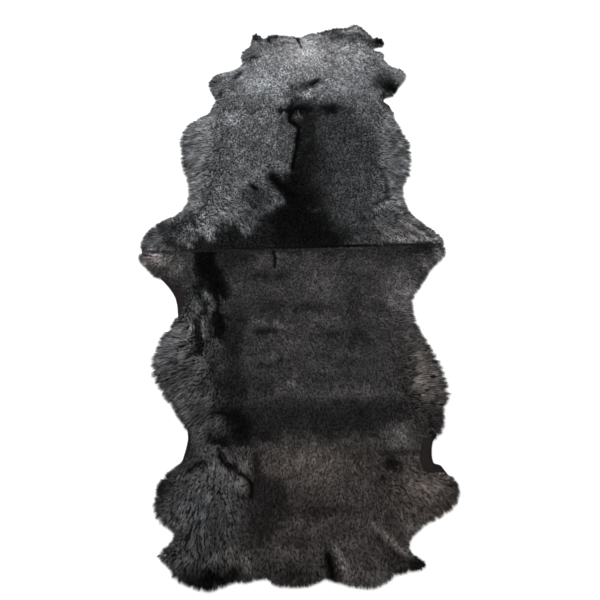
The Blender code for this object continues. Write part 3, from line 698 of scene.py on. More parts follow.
def warmth_at(pelt_name, x, y):
    """How brown the wool is at places, from 0 to 1."""
    warmth = np.full(x.shape, BASE_WARMTH[pelt_name])
    for patch in WARM_PATCHES[pelt_name]:
        warmth += (patch.tone - warmth) * oval_weight(patch, x, y)
    return warmth


# How the wool's heading swings over the rug, and how its rim and seam change the way it lies.
WIDE_SWING = 60.0
WIDE_SWING_SIZE = 0.11
CLOSE_SWING = 36.0
CLOSE_SWING_SIZE = 0.03
WIDE_SWING_SEED = 21
CLOSE_SWING_SEED = 22
ROW_SWING_SHARE = 0.75
RIM_WIDTH = 9.0 * MM
RIM_WIDTH_SHARE = 1.6
RIM_LEAN = 5.0
RIM_LEAN_SHARE = 0.8
RIM_LOCKS = 0.85
FULL_LOCK_REACH = 12.0 * MM
SEAM_CLOSED = 9.0 * MM
SEAM_LEAN = 4.0
LEAST_LENGTH = 1e-6


def swing_at(x, y):
    """How many degrees the wool's heading is turned at places."""
    wide = noise(x / WIDE_SWING_SIZE, y / WIDE_SWING_SIZE, WIDE_SWING_SEED) - 0.5
    close = noise(x / CLOSE_SWING_SIZE, y / CLOSE_SWING_SIZE, CLOSE_SWING_SEED) - 0.5
    return WIDE_SWING * wide + CLOSE_SWING * close


def lie_at(pelt, x, y):
    """Sideways lean of the wool's tips in metres, how stringy it is and how strong its grain is."""
    base = BASE_LIES[pelt.name]
    swing = swing_at(x, y)
    heading = np.radians(base.heading + swing)
    lean_x = np.cos(heading) * base.lean
    lean_y = np.sin(heading) * base.lean
    locks = np.full(x.shape, base.locks)
    grain = np.full(x.shape, base.grain)
    for row in LIES[pelt.name]:
        weight = oval_weight(row, x, y)
        heading = np.radians(row.heading + ROW_SWING_SHARE * swing)
        lean_x += (np.cos(heading) * row.lean - lean_x) * weight
        lean_y += (np.sin(heading) * row.lean - lean_y) * weight
        locks += (row.locks - locks) * weight
        grain += (row.grain - grain) * weight
    # Near the rim the wool leans outward, further where the locks are long.
    distance = pelt.rim_distance.read(x, y)
    reach = pelt.reach.read(x, y)
    spread = RIM_WIDTH + RIM_WIDTH_SHARE * reach
    weight = np.exp(-(np.maximum(distance, 0.0) / spread) ** 2)
    out = RIM_LEAN + RIM_LEAN_SHARE * reach / MM
    lean_x += (pelt.out_x.read(x, y) * out - lean_x) * weight
    lean_y += (pelt.out_y.read(x, y) * out - lean_y) * weight
    locks += (RIM_LOCKS - locks) * weight * np.clip(reach / FULL_LOCK_REACH, 0.0, 1.0)
    if pelt.name == "lower":
        # Below the seam the wool stands up against the upper pelt's and closes the gap.
        near = np.exp(-((y - seam_line(x)) / SEAM_CLOSED) ** 2)
        lean_x -= lean_x * near
        lean_y += (SEAM_LEAN - lean_y) * near
    return lean_x * MM, lean_y * MM, locks, grain


STREAK_STEPS = 7


def streaks(x, y, lean_x, lean_y, width, length, seed):
    """Random values from 0 to 1 that run on along the way the wool leans."""
    lean = np.maximum(np.hypot(lean_x, lean_y), LEAST_LENGTH)
    total = np.zeros(x.shape)
    for step in np.linspace(-0.5, 0.5, STREAK_STEPS):
        shift = step * length / lean
        total += noise((x + lean_x * shift) / width, (y + lean_y * shift) / width, seed)
    return total / STREAK_STEPS


# Meshes


def joined_mesh(name, places, triangles, material, values=None, palette=None, smooth=True):
    """An object from arrays of places and triangles, with named values at its places."""
    mesh = bpy.data.meshes.new(name)
    mesh.vertices.add(len(places))
    mesh.vertices.foreach_set("co", np.ascontiguousarray(places, np.float32).ravel())
    mesh.loops.add(3 * len(triangles))
    mesh.loops.foreach_set("vertex_index", np.ascontiguousarray(triangles, np.int32).ravel())
    mesh.polygons.add(len(triangles))
    mesh.polygons.foreach_set("loop_start", np.arange(len(triangles), dtype=np.int32) * 3)
    mesh.polygons.foreach_set("use_smooth", np.full(len(triangles), smooth))
    for key, numbers in (values or {}).items():
        attribute = mesh.attributes.new(key, "FLOAT", "POINT")
        attribute.data.foreach_set("value", np.ascontiguousarray(numbers, np.float32))
    if palette is not None:
        layer = mesh.uv_layers.new(name="OFBake")
        layer.data.foreach_set("uv", np.ascontiguousarray(palette[triangles.ravel()], np.float32).ravel())
    mesh.materials.append(material)
    mesh.update(calc_edges=True)
    mesh.validate()
    piece = bpy.data.objects.new(name, mesh)
    bpy.context.scene.collection.objects.link(piece)
    return piece


GRID_JITTER = 0.32


def hex_grid(low, high, spacing, draw):
    """Places on an even three-way grid, each moved a little."""
    rise = spacing * math.sqrt(3.0) / 2.0
    rows = int((high[1] - low[1]) / rise) + 2
    columns = int((high[0] - low[0]) / spacing) + 2
    row, column = np.mgrid[0:rows, 0:columns]
    x = low[0] + (column + 0.5 * (row % 2)) * spacing
    y = low[1] + row * rise
    x = x + draw.uniform(-GRID_JITTER, GRID_JITTER, x.shape) * spacing
    y = y + draw.uniform(-GRID_JITTER, GRID_JITTER, y.shape) * spacing
    return x.ravel(), y.ravel()


def plan_inside(outline, spacing, edge_share, draw):
    """An outline's corners, and after them the places of a grid inside it, away from its edge."""
    x, y = hex_grid(outline.min(0), outline.max(0), spacing, draw)
    edge, _ = nearest_on_outline(x, y, outline, np.roll(outline, -1, 0))
    keep = inside_outline(x, y, outline) & (edge > edge_share * spacing)
    return np.concatenate([outline, np.column_stack([x[keep], y[keep]])])


def triangles_over(plan, count):
    """Triangles over places, of which the first ones, up to a count, are a clockwise outline."""
    places = [Vector(place) for place in plan]
    loop = list(reversed(range(count)))
    _, _, faces, sources, _, owners = delaunay_2d_cdt(places, [], [loop], 0, 1e-7, True)
    source = np.array([rows[0] for rows in sources])
    return np.array([source[list(face)] for face, owner in zip(faces, owners) if owner])


def closed_sheet(plan, count, low_z, high_z, plain_below=False):
    """Places and triangles of a closed sheet between two heights. Its outline's places come first.

    A sheet that is plain below has no places there but its outline's.
    """
    triangles = triangles_over(plan, count)
    top = np.column_stack([plan, high_z])
    bottom_plan = plan[:count] if plain_below else plan
    below = triangles_over(bottom_plan, count) if plain_below else triangles
    bottom = np.column_stack([bottom_plan, low_z[:len(bottom_plan)]])
    first = np.arange(count)
    after = np.roll(first, -1)
    lower = first + len(top)
    lower_after = after + len(top)
    walls = np.concatenate([np.stack([first, after, lower_after], 1),
                            np.stack([first, lower_after, lower], 1)])
    return (np.concatenate([top, bottom]),
            np.concatenate([triangles, walls, below[:, ::-1] + len(top)]))


LEAST_HEIGHT = 0.8 * MM
FIBRE_TRIANGLES = ((0, 2, 1), (1, 2, 3))
PALETTE_EDGE = 0.02
PALETTE_HALF = 0.008


def grow_fibres(root, middle, tip, width, roll):
    """Places and triangles of flat fibres, pointed at root and tip and bent where they are widest."""
    line = tip - root
    line = line / np.maximum(np.linalg.norm(line, axis=1, keepdims=True), 1e-9)
    side = np.stack([line[:, 1], -line[:, 0], np.zeros(len(line))], 1) + 1e-6
    side = side / np.linalg.norm(side, axis=1, keepdims=True)
    lift = np.cross(line, side)
    side = side * np.cos(roll)[:, None] + lift * np.sin(roll)[:, None]
    half = 0.5 * width[:, None] * side
    places = np.stack([root, middle - half, middle + half, tip], 1)
    places[..., 2] = np.maximum(places[..., 2], LEAST_HEIGHT)
    start = 4 * np.arange(len(root))[:, None]
    triangles = (start[:, :, None] + np.array(FIBRE_TRIANGLES)[None]).reshape(-1, 3)
    return places.reshape(-1, 3), triangles


def fibre_piece(name, fibres, material):
    """One piece of many fibres, coloured from a palette of shade and warmth."""
    places, triangles = grow_fibres(fibres["root"], fibres["middle"], fibres["tip"],
                                    fibres["width"], fibres["roll"])
    shade = np.stack([fibres["root_shade"], fibres["middle_shade"], fibres["middle_shade"],
                      fibres["tip_shade"]], 1)
    shade = np.clip(shade, 0.0, 1.0)
    warmth = np.repeat(np.clip(fibres["warmth"], 0.0, 1.0)[:, None], 4, 1)
    side = np.array([0.0, -PALETTE_HALF, PALETTE_HALF, 0.0])
    room = 1.0 - 2.0 * PALETTE_EDGE
    palette = np.stack([PALETTE_EDGE + room * shade, PALETTE_EDGE + room * warmth + side], 2).reshape(-1, 2)
    return joined_mesh(name, places, triangles, material,
                       {"shade": shade.ravel(), "warmth": warmth.ravel()}, palette)


def chosen(rows, which):
    """The chosen rows of every column in a table of arrays."""
    return {key: values[which] for key, values in rows.items()}


# Wool


# Strands run along the way the wool leans. Partings are thin dark dashes between them: dark roots and painted
# shade.
STRAND_WIDTH = 3.1 * MM
STRAND_LENGTH = 21.0 * MM
STRAND_STEP = 0.4
STRAND_DRAG = 60.0 * MM
STRAND_PULL = 1.5 * MM
STRAND_PULL_EDGE = 16.0
STRAND_RISE = 3.5 * MM
FINE_SEED = 31
BROAD_SEED = 32
BROAD_WIDTH = 2.6
BROAD_LENGTH = 1.6
PART_BELOW = 0.46
PART_EDGE = 8.0
PART_DEPTH = 3.0 * MM
PART_DARK = 2.6
MOTTLE_SEED = 33
MOTTLE_SIZE = 19.0 * MM

# Where a fibre stands in its clump, how far its tip strays, and how it bends.
LEAN_SPREAD = (0.75, 1.25)
CLUMP_FILL = 0.62
TIPS_MEET = (0.1, 0.7)
TIP_RISE = (-2.0, 0.6)
TIP_ROLL = 0.4
FULL_HEIGHT = 9.0 * MM
ROOT_DEPTH = (0.85, 1.15)
ROOT_ABOVE_SKIN = 0.3 * MM
WOOL_BEND = (0.42, 0.42, 0.66)
WOOL_BOW = 0.16
WIDTH_SPREAD = (0.7, 1.3)
WARMTH_SPREAD = 0.06

# Pairs hold a value for short wool and what the longest wool adds to it.
STRAND_THINNING = (1.0, -0.15)
STRAND_RUN = (0.3, 0.7)
PART_SHARPNESS = (0.6, 0.4)
TIP_STRAY = (0.7, 0.9)
FIBRE_NARROWING = (1.0, -0.2)
FLECK_TONE = (1.0, -0.5)
RIPPLE_TONE = (1.4, 1.0)
MOTTLE_TONE = (0.45, 0.75)
UNEVEN_TONE = (0.03, 0.25)
BRIGHTNESS = (1.04, -0.1)
UNDERWOOL_DEPTH = (0.8, 0.35)

# Past the rim the wool's top droops to the floor.
DROOP_PAST_REACH = 8.0 * MM
DROOP_CURVE = 0.8
DROOP_END = 1.2 * MM


def by_length(pair, long):
    """The value of a pair for wool that is as long as said, from 0 to 1."""
    return pair[0] + pair[1] * long


def surface_height(pelt, x, y):
    """Height of the wool's top, drooping to the floor past the rim."""
    distance = pelt.rim_distance.read(x, y)
    reach = pelt.reach.read(x, y) + DROOP_PAST_REACH
    past = np.clip(-distance / reach, 0.0, 1.0)
    top = pelt.height.read(x, y)
    return top * (1.0 - past) ** DROOP_CURVE + DROOP_END * past


def clumps_of(pelt, sizes, draw):
    """The wool's clumps: their middles, where their tips lean to, and what their fibres share."""
    x, y = hex_grid(pelt.outline.min(0), pelt.outline.max(0), sizes.clump_spacing, draw)
    keep = inside_outline(x, y, pelt.outline)
    x = x[keep]
    y = y[keep]
    lean_x, lean_y, long, grain = lie_at(pelt, x, y)
    strength = draw.uniform(*LEAN_SPREAD, x.shape)
    tip_x = x + lean_x * strength
    tip_y = y + lean_y * strength
    # Long wool draws together into strands along the way it leans.
    length = np.maximum(np.hypot(lean_x, lean_y), LEAST_LENGTH)
    side_x = -lean_y / length
    side_y = lean_x / length
    across = STRAND_WIDTH * by_length(STRAND_THINNING, long)
    along = STRAND_LENGTH * by_length(STRAND_RUN, long)
    step = STRAND_STEP * across
    ahead, behind = (
        streaks(tip_x + side_x * way, tip_y + side_y * way, lean_x, lean_y, across, along, FINE_SEED)
        for way in (step, -step))
    pull = np.clip((ahead - behind) * STRAND_PULL_EDGE, -1.0, 1.0) * STRAND_PULL * long
    warmth = warmth_at(pelt.name, x, y) + draw.normal(0.0, WARMTH_SPREAD, x.shape)
    fleck = draw.normal(0.0, 1.0, x.shape) * by_length(FLECK_TONE, long)
    lift = draw.normal(0.0, 0.5, x.shape) * MM + STRAND_RISE * long * (0.5 * (ahead + behind) - 0.5)
    return {
        "x": x, "y": y, "top": surface_height(pelt, x, y),
        "tip_x": tip_x + side_x * pull, "tip_y": tip_y + side_y * pull,
        "lean_x": lean_x, "lean_y": lean_y, "length": length, "long": long, "grain": grain,
        "across": across, "along": along, "warmth": warmth, "fleck": fleck, "lift": lift,
    }


def wool_shades(pelt, own, middle, tip, roll, draw, contrast):
    """How light the wool's fibres are at their roots, middles and tips, from 0 to 1."""
    long = own["long"]
    ripple = own["broad"] - 0.5
    smooth = np.clip(1.0 - own["grain"], 0.0, 1.0)
    mottle = noise(tip[:, 0] / MOTTLE_SIZE, tip[:, 1] / MOTTLE_SIZE, MOTTLE_SEED) - 0.5
    change = 0.1 + 0.4 * own["grain"] - PART_DARK * own["parted"]
    change += (1.0 - 0.6 * smooth) * (by_length(RIPPLE_TONE, long) * ripple + 0.1 * own["fleck"])
    change += by_length(MOTTLE_TONE, long) * mottle
    # Where the tone changes, strands carry it on along the way they lean.
    drag = STRAND_DRAG * by_length(STRAND_RUN, long) * ripple / own["length"] - 0.1
    drag_x = own["lean_x"] * drag
    drag_y = own["lean_y"] * drag
    tip_tone = tone_at(pelt.name, tip[:, 0], tip[:, 1], drag_x, drag_y)
    middle_tone = tone_at(pelt.name, middle[:, 0], middle[:, 1], drag_x, drag_y)
    # A fibre that lies flatter faces the light more, so it is made darker for the same tone.
    end = tip - middle
    flat = np.hypot(end[:, 0], end[:, 1]) / np.maximum(np.linalg.norm(end, axis=1), 1e-9) * np.cos(roll)
    uneven = draw.normal(0.0, 1.0, len(tip)) * by_length(UNEVEN_TONE, long)
    light = np.exp(contrast * change + uneven) / 255.0
    # Short wool that leans to the front shows more of its dark roots, seen from there.
    front = np.clip(-own["lean_y"] / own["length"], -1.0, 1.0) * (1.0 - long)
    light = light * (by_length(BRIGHTNESS, long) + 0.06 * front) / (0.48 + 0.48 * np.abs(flat))
    # Roots are darker than middles and tips: the dye, with painted shade deep among the fibres.
    return {
        "root_shade": (0.42 + 0.25 * smooth) * light * middle_tone,
        "middle_shade": 0.88 * light * middle_tone,
        "tip_shade": light * tip_tone,
    }


def wool_fibres(pelt, sizes):
    """All the fibres that stand on a pelt's top."""
    draw = np.random.default_rng(SEED + PELTS.index(pelt.name))
    clumps = clumps_of(pelt, sizes, draw)
    own = chosen(clumps, np.repeat(np.arange(len(clumps["x"])), sizes.fibres_per_clump))
    total = len(own["x"])
    long = own["long"]
    angle = draw.uniform(0.0, 2.0 * math.pi, total)
    radius = CLUMP_FILL * sizes.clump_spacing * np.sqrt(draw.uniform(0.0, 1.0, total))
    spread_x = np.cos(angle) * radius
    spread_y = np.sin(angle) * radius
    meet = draw.uniform(*TIPS_MEET, total)
    stray = by_length(TIP_STRAY, long) * MM
    end_x = own["tip_x"] + spread_x * (1.0 - meet) + draw.normal(0.0, 1.0, total) * stray
    end_y = own["tip_y"] + spread_y * (1.0 - meet) + draw.normal(0.0, 1.0, total) * stray
    root_z = np.maximum(own["top"] - sizes.fibre_rise * draw.uniform(*ROOT_DEPTH, total),
                        pelt.base + ROOT_ABOVE_SKIN)

    # The wool is even, with thin dark dashes where it parts, partly dark roots and partly painted shade.
    lean = (own["lean_x"], own["lean_y"])
    fine = streaks(end_x, end_y, *lean, own["across"], own["along"], FINE_SEED)
    own["broad"] = streaks(end_x, end_y, *lean, BROAD_WIDTH * own["across"], BROAD_LENGTH * own["along"],
                           BROAD_SEED)
    edge = PART_EDGE * by_length(PART_SHARPNESS, long)
    own["parted"] = np.clip((PART_BELOW - fine) * edge, 0.0, 1.0) * own["grain"]
    end_top = surface_height(pelt, end_x, end_y)
    rise = own["lift"] + draw.uniform(*TIP_RISE, total) * MM - PART_DEPTH * own["parted"]
    end_z = end_top + rise * np.clip(end_top / FULL_HEIGHT, 0.2, 1.0)
    root = np.stack([own["x"] + spread_x, own["y"] + spread_y, root_z], 1)
    tip = np.stack([end_x, end_y, end_z], 1)
    middle = root + (tip - root) * np.array(WOOL_BEND)
    middle[:, 2] += WOOL_BOW * np.hypot(tip[:, 0] - root[:, 0], tip[:, 1] - root[:, 1])
    roll = draw.normal(0.0, TIP_ROLL, total)
    shades = wool_shades(pelt, own, middle, tip, roll, draw, sizes.tone_contrast)
    width = sizes.fibre_width * draw.uniform(*WIDTH_SPREAD, total) * by_length(FIBRE_NARROWING, long)
    return {"root": root, "middle": middle, "tip": tip, "width": width, "roll": roll,
            "warmth": own["warmth"], **shades}


# The fringe: locks of fine fibres that start inside the rim and reach past it.
LOCK_JITTER = 0.35
LOCK_SWING = 50.0
LOCK_SWING_SIZE = 0.03
LOCK_SWING_SEED = 41
LOCK_STRAY = 9.0
LOCK_REACH = (0.92, 1.08)
LOCK_PAST = 5.0
LOCK_SHADE_SPREAD = 0.6
NECK_START = 0.72
NECK_FADE = 0.08
NECK_PAST = 5.0
NECK_DARK = 0.4
NECK_STANDS = 3.0 * MM
TONE_READ_INSIDE = 10.0 * MM
FRINGE_BESIDE = 0.8
FRINGE_BEHIND = (0.0, 12.0)
FRINGE_MEET = (0.0, 0.55)
FRINGE_LENGTH = (0.45, 1.12)
FRINGE_STRAY = 0.9
FRINGE_ROOT_RISE = (0.4, 5.0)
FRINGE_TIP_HEIGHT = (0.9, 4.2)
FRINGE_BEND = (0.5, 0.5, 0.4)
FRINGE_BOW = (0.5, 3.0)
FRINGE_WIDTH = 0.55
FRINGE_ROLL = 0.5
FRINGE_LIGHT = (0.8, 1.2)


def fringe_fibres(pelt, sizes):
    """The long fibres of the locks that reach past a pelt's rim."""
    draw = np.random.default_rng(SEED + 50 + PELTS.index(pelt.name))
    steps = pelt.rim_ends - pelt.rim_starts
    lengths = np.linalg.norm(steps, axis=1)
    along = np.concatenate([[0.0], np.cumsum(lengths)])
    places = np.arange(0.5 * sizes.fringe_spacing, along[-1], sizes.fringe_spacing)
    places = places + draw.uniform(-LOCK_JITTER, LOCK_JITTER, len(places)) * sizes.fringe_spacing
    places = np.clip(places, 0.0, along[-1] - 1e-6)
    line = np.searchsorted(along, places, side="right") - 1
    share = (places - along[line]) / lengths[line]
    x = pelt.rim_starts[line, 0] + steps[line, 0] * share
    y = pelt.rim_starts[line, 1] + steps[line, 1] * share
    out_x = pelt.out_x.read(x, y)
    out_y = pelt.out_y.read(x, y)
    swing = np.radians(LOCK_SWING * (noise(places / LOCK_SWING_SIZE, 0.0 * x, LOCK_SWING_SEED) - 0.5)
                       + draw.normal(0.0, LOCK_STRAY, len(x)))
    # The far pelt's neck end has tips that stand up over its rim.
    neck = np.clip((y - NECK_START) / NECK_FADE, 0.0, 1.0) * np.clip(out_y, 0.0, 1.0)
    far = pelt.reach.read(x, y) * draw.uniform(*LOCK_REACH, len(x)) + (LOCK_PAST + NECK_PAST * neck) * MM
    tone = tone_at(pelt.name, x - TONE_READ_INSIDE * out_x, y - TONE_READ_INSIDE * out_y)
    darker = draw.normal(-NECK_DARK * neck, LOCK_SHADE_SPREAD, len(x))
    locks = {
        "x": x, "y": y, "out_x": out_x, "out_y": out_y, "neck": neck, "far": far,
        "head_x": out_x * np.cos(swing) - out_y * np.sin(swing),
        "head_y": out_x * np.sin(swing) + out_y * np.cos(swing),
        "tone": tone * np.exp(sizes.tone_contrast * darker), "warmth": warmth_at(pelt.name, x, y),
    }

    own = chosen(locks, np.repeat(np.arange(len(x)), sizes.fibres_per_lock))
    total = len(own["x"])
    beside = draw.uniform(-FRINGE_BESIDE, FRINGE_BESIDE, total) * sizes.fringe_spacing
    behind = draw.uniform(*FRINGE_BEHIND, total) * MM
    kept = 1.0 - draw.uniform(*FRINGE_MEET, total)
    length = own["far"] * draw.uniform(*FRINGE_LENGTH, total)
    end_x = own["x"] + own["head_x"] * length - own["out_y"] * beside * kept
    end_y = own["y"] + own["head_y"] * length + own["out_x"] * beside * kept
    end_x = end_x + draw.normal(0.0, FRINGE_STRAY, total) * MM
    end_y = end_y + draw.normal(0.0, FRINGE_STRAY, total) * MM
    root = np.stack([own["x"] - own["out_y"] * beside - own["out_x"] * behind,
                     own["y"] + own["out_x"] * beside - own["out_y"] * behind,
                     pelt.base + draw.uniform(*FRINGE_ROOT_RISE, total) * MM], 1)
    end_z = draw.uniform(*FRINGE_TIP_HEIGHT, total) * MM + NECK_STANDS * own["neck"]
    tip = np.stack([end_x, end_y, end_z], 1)
    middle = root + (tip - root) * np.array(FRINGE_BEND)
    middle[:, 2] += draw.uniform(*FRINGE_BOW, total) * MM
    light = own["tone"] / 255.0 * draw.uniform(*FRINGE_LIGHT, total)
    # Roots are darker than middles and tips: the dye, with painted shade deep among the fibres.
    return {
        "root": root, "middle": middle, "tip": tip,
        "width": FRINGE_WIDTH * sizes.fibre_width * draw.uniform(*WIDTH_SPREAD, total),
        "roll": draw.normal(0.0, FRINGE_ROLL, total),
        "root_shade": 0.35 * light, "middle_shade": 0.8 * light, "tip_shade": 1.05 * light,
        "warmth": own["warmth"],
    }


# Materials


def add_node(tree, kind, settings=None, links=None):
    """A node of a kind, with its settings and what its inputs are fed from."""
    node = tree.nodes.new(kind)
    for key, value in (settings or {}).items():
        if isinstance(key, int) or key in node.inputs:
            node.inputs[key].default_value = value
        else:
            setattr(node, key, value)
    for key, source in (links or {}).items():
        tree.links.new(source, node.inputs[key])
    return node


def new_material(name):
    """An empty material, its tree and its surface socket."""
    material = bpy.data.materials.new(name)
    material.use_nodes = True
    tree = material.node_tree
    tree.nodes.clear()
    output = add_node(tree, "ShaderNodeOutputMaterial")
    return material, tree, output.inputs["Surface"]


def colour_steps(tree, factor, steps):
    """A run of colours from dark to light, placed by the shade that each one is for."""
    ramp = add_node(tree, "ShaderNodeValToRGB", links={"Fac": factor})
    elements = ramp.color_ramp.elements
    while len(elements) < len(steps):
        elements.new(0.5)
    for element, (place, hex_colour) in zip(elements, steps):
        element.position = place
        element.color = (*linear(hex_colour), 1.0)
    return ramp.outputs["Color"]


# Shades of the dyed wool. The place of a step is the tone that the wool is to show there.
COOL_STEPS = ((0.0, "#010102"), (0.039, "#0b0b0b"), (0.078, "#151616"), (0.141, "#252627"),
              (0.235, "#3e3f41"), (0.353, "#5d5f61"), (0.49, "#818487"), (0.647, "#aaaeb2"),
              (0.843, "#dde3e8"), (1.0, "#f9ffff"))
WARM_STEPS = ((0.0, "#020101"), (0.039, "#0c0b0a"), (0.078, "#171514"), (0.141, "#292524"),
              (0.235, "#443f3c"), (0.353, "#665e5a"), (0.49, "#8d827d"), (0.647, "#baaca5"),
              (0.843, "#f3e0d7"), (1.0, "#fff9f0"))


def wool_material(name):
    """Chrome-tanned sheep's wool, dyed black: grey at its worn tips and black at its roots, which painted
    shade darkens further.

    Wool is keratin with an index near 1.55. Its scales scatter light, so it looks matt, and dense
    wool hides nearly all of its gloss. Shade and warmth come from each fibre.
    """
    material, tree, surface = new_material(name)
    shade = add_node(tree, "ShaderNodeAttribute", {"attribute_name": "shade"}).outputs["Fac"]
    warmth = add_node(tree, "ShaderNodeAttribute", {"attribute_name": "warmth"}).outputs["Fac"]
    cool = colour_steps(tree, shade, COOL_STEPS)
    warm = colour_steps(tree, shade, WARM_STEPS)
    # A mix node's colour sockets share their names, so they are told apart by number.
    mix = add_node(tree, "ShaderNodeMix", {"data_type": "RGBA"})
    tree.links.new(warmth, mix.inputs[0])
    tree.links.new(cool, mix.inputs[6])
    tree.links.new(warm, mix.inputs[7])
    shader = add_node(tree, "ShaderNodeBsdfPrincipled",
                      {"Roughness": 0.8, "IOR": 1.55, "Specular IOR Level": 0.01},
                      {"Base Color": mix.outputs[2]})
    tree.links.new(shader.outputs["BSDF"], surface)
    return material


DYE_CLOUDS = 40.0 * MM
WRINKLES = 7.0 * MM
GRAIN_DEPTH = 0.6 * MM


def hide_material(name, colour, grain_size):
    """Chrome-tanned sheep's leather, drum dyed: near black, matt, with a fine pebbled grain."""
    material, tree, surface = new_material(name)
    place = add_node(tree, "ShaderNodeTexCoord").outputs["Object"]
    cloud = add_node(tree, "ShaderNodeTexNoise", {"Scale": 1.0 / DYE_CLOUDS, "Detail": 4.0},
                     {"Vector": place})
    grain = add_node(tree, "ShaderNodeTexVoronoi", {"Scale": 1.0 / grain_size}, {"Vector": place})
    wrinkle = add_node(tree, "ShaderNodeTexNoise",
                       {"Scale": 1.0 / WRINKLES, "Detail": 6.0, "Roughness": 0.6}, {"Vector": place})
    ramp = add_node(tree, "ShaderNodeValToRGB", links={"Fac": cloud.outputs["Fac"]})
    ramp.color_ramp.elements[0].position = 0.35
    ramp.color_ramp.elements[0].color = (*[0.7 * c for c in colour], 1.0)
    ramp.color_ramp.elements[1].position = 0.7
    ramp.color_ramp.elements[1].color = (*[1.35 * c for c in colour], 1.0)
    rough = add_node(tree, "ShaderNodeMapRange", {"To Min": 0.5, "To Max": 0.75},
                     {"Value": wrinkle.outputs["Fac"]})
    height = add_node(tree, "ShaderNodeMath", {"operation": "MULTIPLY_ADD", 1: 0.6},
                      {0: grain.outputs["Distance"], 2: wrinkle.outputs["Fac"]})
    bump = add_node(tree, "ShaderNodeBump", {"Strength": 0.5, "Distance": GRAIN_DEPTH},
                    {"Height": height.outputs["Value"]})
    shader = add_node(tree, "ShaderNodeBsdfPrincipled", {"IOR": 1.5, "Specular IOR Level": 0.04},
                      {"Base Color": ramp.outputs["Color"], "Roughness": rough.outputs["Result"],
                       "Normal": bump.outputs["Normal"]})
    tree.links.new(shader.outputs["BSDF"], surface)
    return material


def plain_material(name, colour, roughness):
    """A matt surface of one colour, for the floor that isn't part of the rug."""
    material, tree, surface = new_material(name)
    shader = add_node(tree, "ShaderNodeBsdfPrincipled",
                      {"Base Color": (*colour, 1.0), "Roughness": roughness})
    tree.links.new(shader.outputs["BSDF"], surface)
    return material


# What a user can change


class RugWoolSizes(bpy.types.PropertyGroup):
    """Sizes of the wool."""

    clump_spacing: FloatProperty(
        name="Clump spacing", description="Distance between the middles of two clumps",
        default=6.4 * MM, unit="LENGTH", precision=4)
    fibres_per_clump: IntProperty(
        name="Fibres in a clump", description="How many fibres stand in each clump", default=12)
    fibre_width: FloatProperty(
        name="Fibre width", description="Width of a fibre at its middle, thicker than real wool",
        default=1.5 * MM, unit="LENGTH", precision=4)
    fibre_rise: FloatProperty(
        name="Fibre rise", description="Height of the fibres that stand out of the underwool",
        default=11.0 * MM, unit="LENGTH", precision=4)
    tone_contrast: FloatProperty(
        name="Tone contrast", description="How much one clump's tone differs from the next",
        default=0.42, subtype="FACTOR")
    fringe_spacing: FloatProperty(
        name="Fringe spacing", description="Distance between locks along the rim",
        default=6.5 * MM, unit="LENGTH", precision=4)
    fibres_per_lock: IntProperty(
        name="Fibres in a rim lock", description="How many fibres a lock at the rim has", default=50)
    underwool_depth: FloatProperty(
        name="Underwool depth", description="How far the underwool lies below the wool's top",
        default=6.5 * MM, unit="LENGTH", precision=4)
    underwool_spacing: FloatProperty(
        name="Underwool spacing", description="Distance between the underwool's lumps",
        default=8.5 * MM, unit="LENGTH", precision=4)


class RugHideSizes(bpy.types.PropertyGroup):
    """Sizes and colours of the hides."""

    spacing: FloatProperty(
        name="Spacing", description="Distance between the points of a hide",
        default=13.0 * MM, unit="LENGTH", precision=4)
    edge_lift: FloatProperty(
        name="Edge lift", description="How far a bare edge curls up off the floor",
        default=2.2 * MM, unit="LENGTH", precision=4)
    grain_size: FloatProperty(
        name="Grain size", description="Size of the leather's pebbles",
        default=1.3 * MM, unit="LENGTH", precision=4)
    colour: FloatVectorProperty(
        name="Leather colour", description="Colour of the bare leather", subtype="COLOR",
        default=linear("#1b1716"))


class RugStageSizes(bpy.types.PropertyGroup):
    """Camera, light and floor."""

    camera_place: FloatVectorProperty(
        name="Camera place", description="Where the camera stands, at a standing person's eye height",
        subtype="XYZ", unit="LENGTH", default=(0.0216, -1.2408, 1.664))
    camera_tilt: FloatProperty(
        name="Camera tilt", description="Angle between the view and straight down",
        subtype="ANGLE", default=math.radians(31.94))
    lens: FloatProperty(name="Lens", description="Focal length in millimetres", default=43.12)
    floor_colour: FloatVectorProperty(
        name="Floor colour", description="Colour of the pale floor", subtype="COLOR",
        default=linear("#f4f4f3"))
    sky_strength: FloatProperty(
        name="Sky strength", description="Strength of the even light from all sides", default=1.1)
    lamp_power: FloatProperty(
        name="Lamp power", description="Power of the soft lamp above the rug", unit="POWER", default=60.0)


def settings():
    """The rug's settings in the scene."""
    return bpy.context.scene.rug_settings


class RugSettings(bpy.types.PropertyGroup):
    """All settings of the rug."""

    wool: PointerProperty(type=RugWoolSizes)
    hide: PointerProperty(type=RugHideSizes)
    stage: PointerProperty(type=RugStageSizes)


pelts = {}
materials = {}


def pelt_named(name):
    """The pelt's measures, taken once."""
    if name not in pelts:
        pelts[name] = Pelt(name)
    return pelts[name]


def wool_material_of(name):
    """The wool material of a pelt, made once."""
    if name not in materials:
        materials[name] = wool_material(f"dyed sheep's wool, {name} pelt")
    return materials[name]


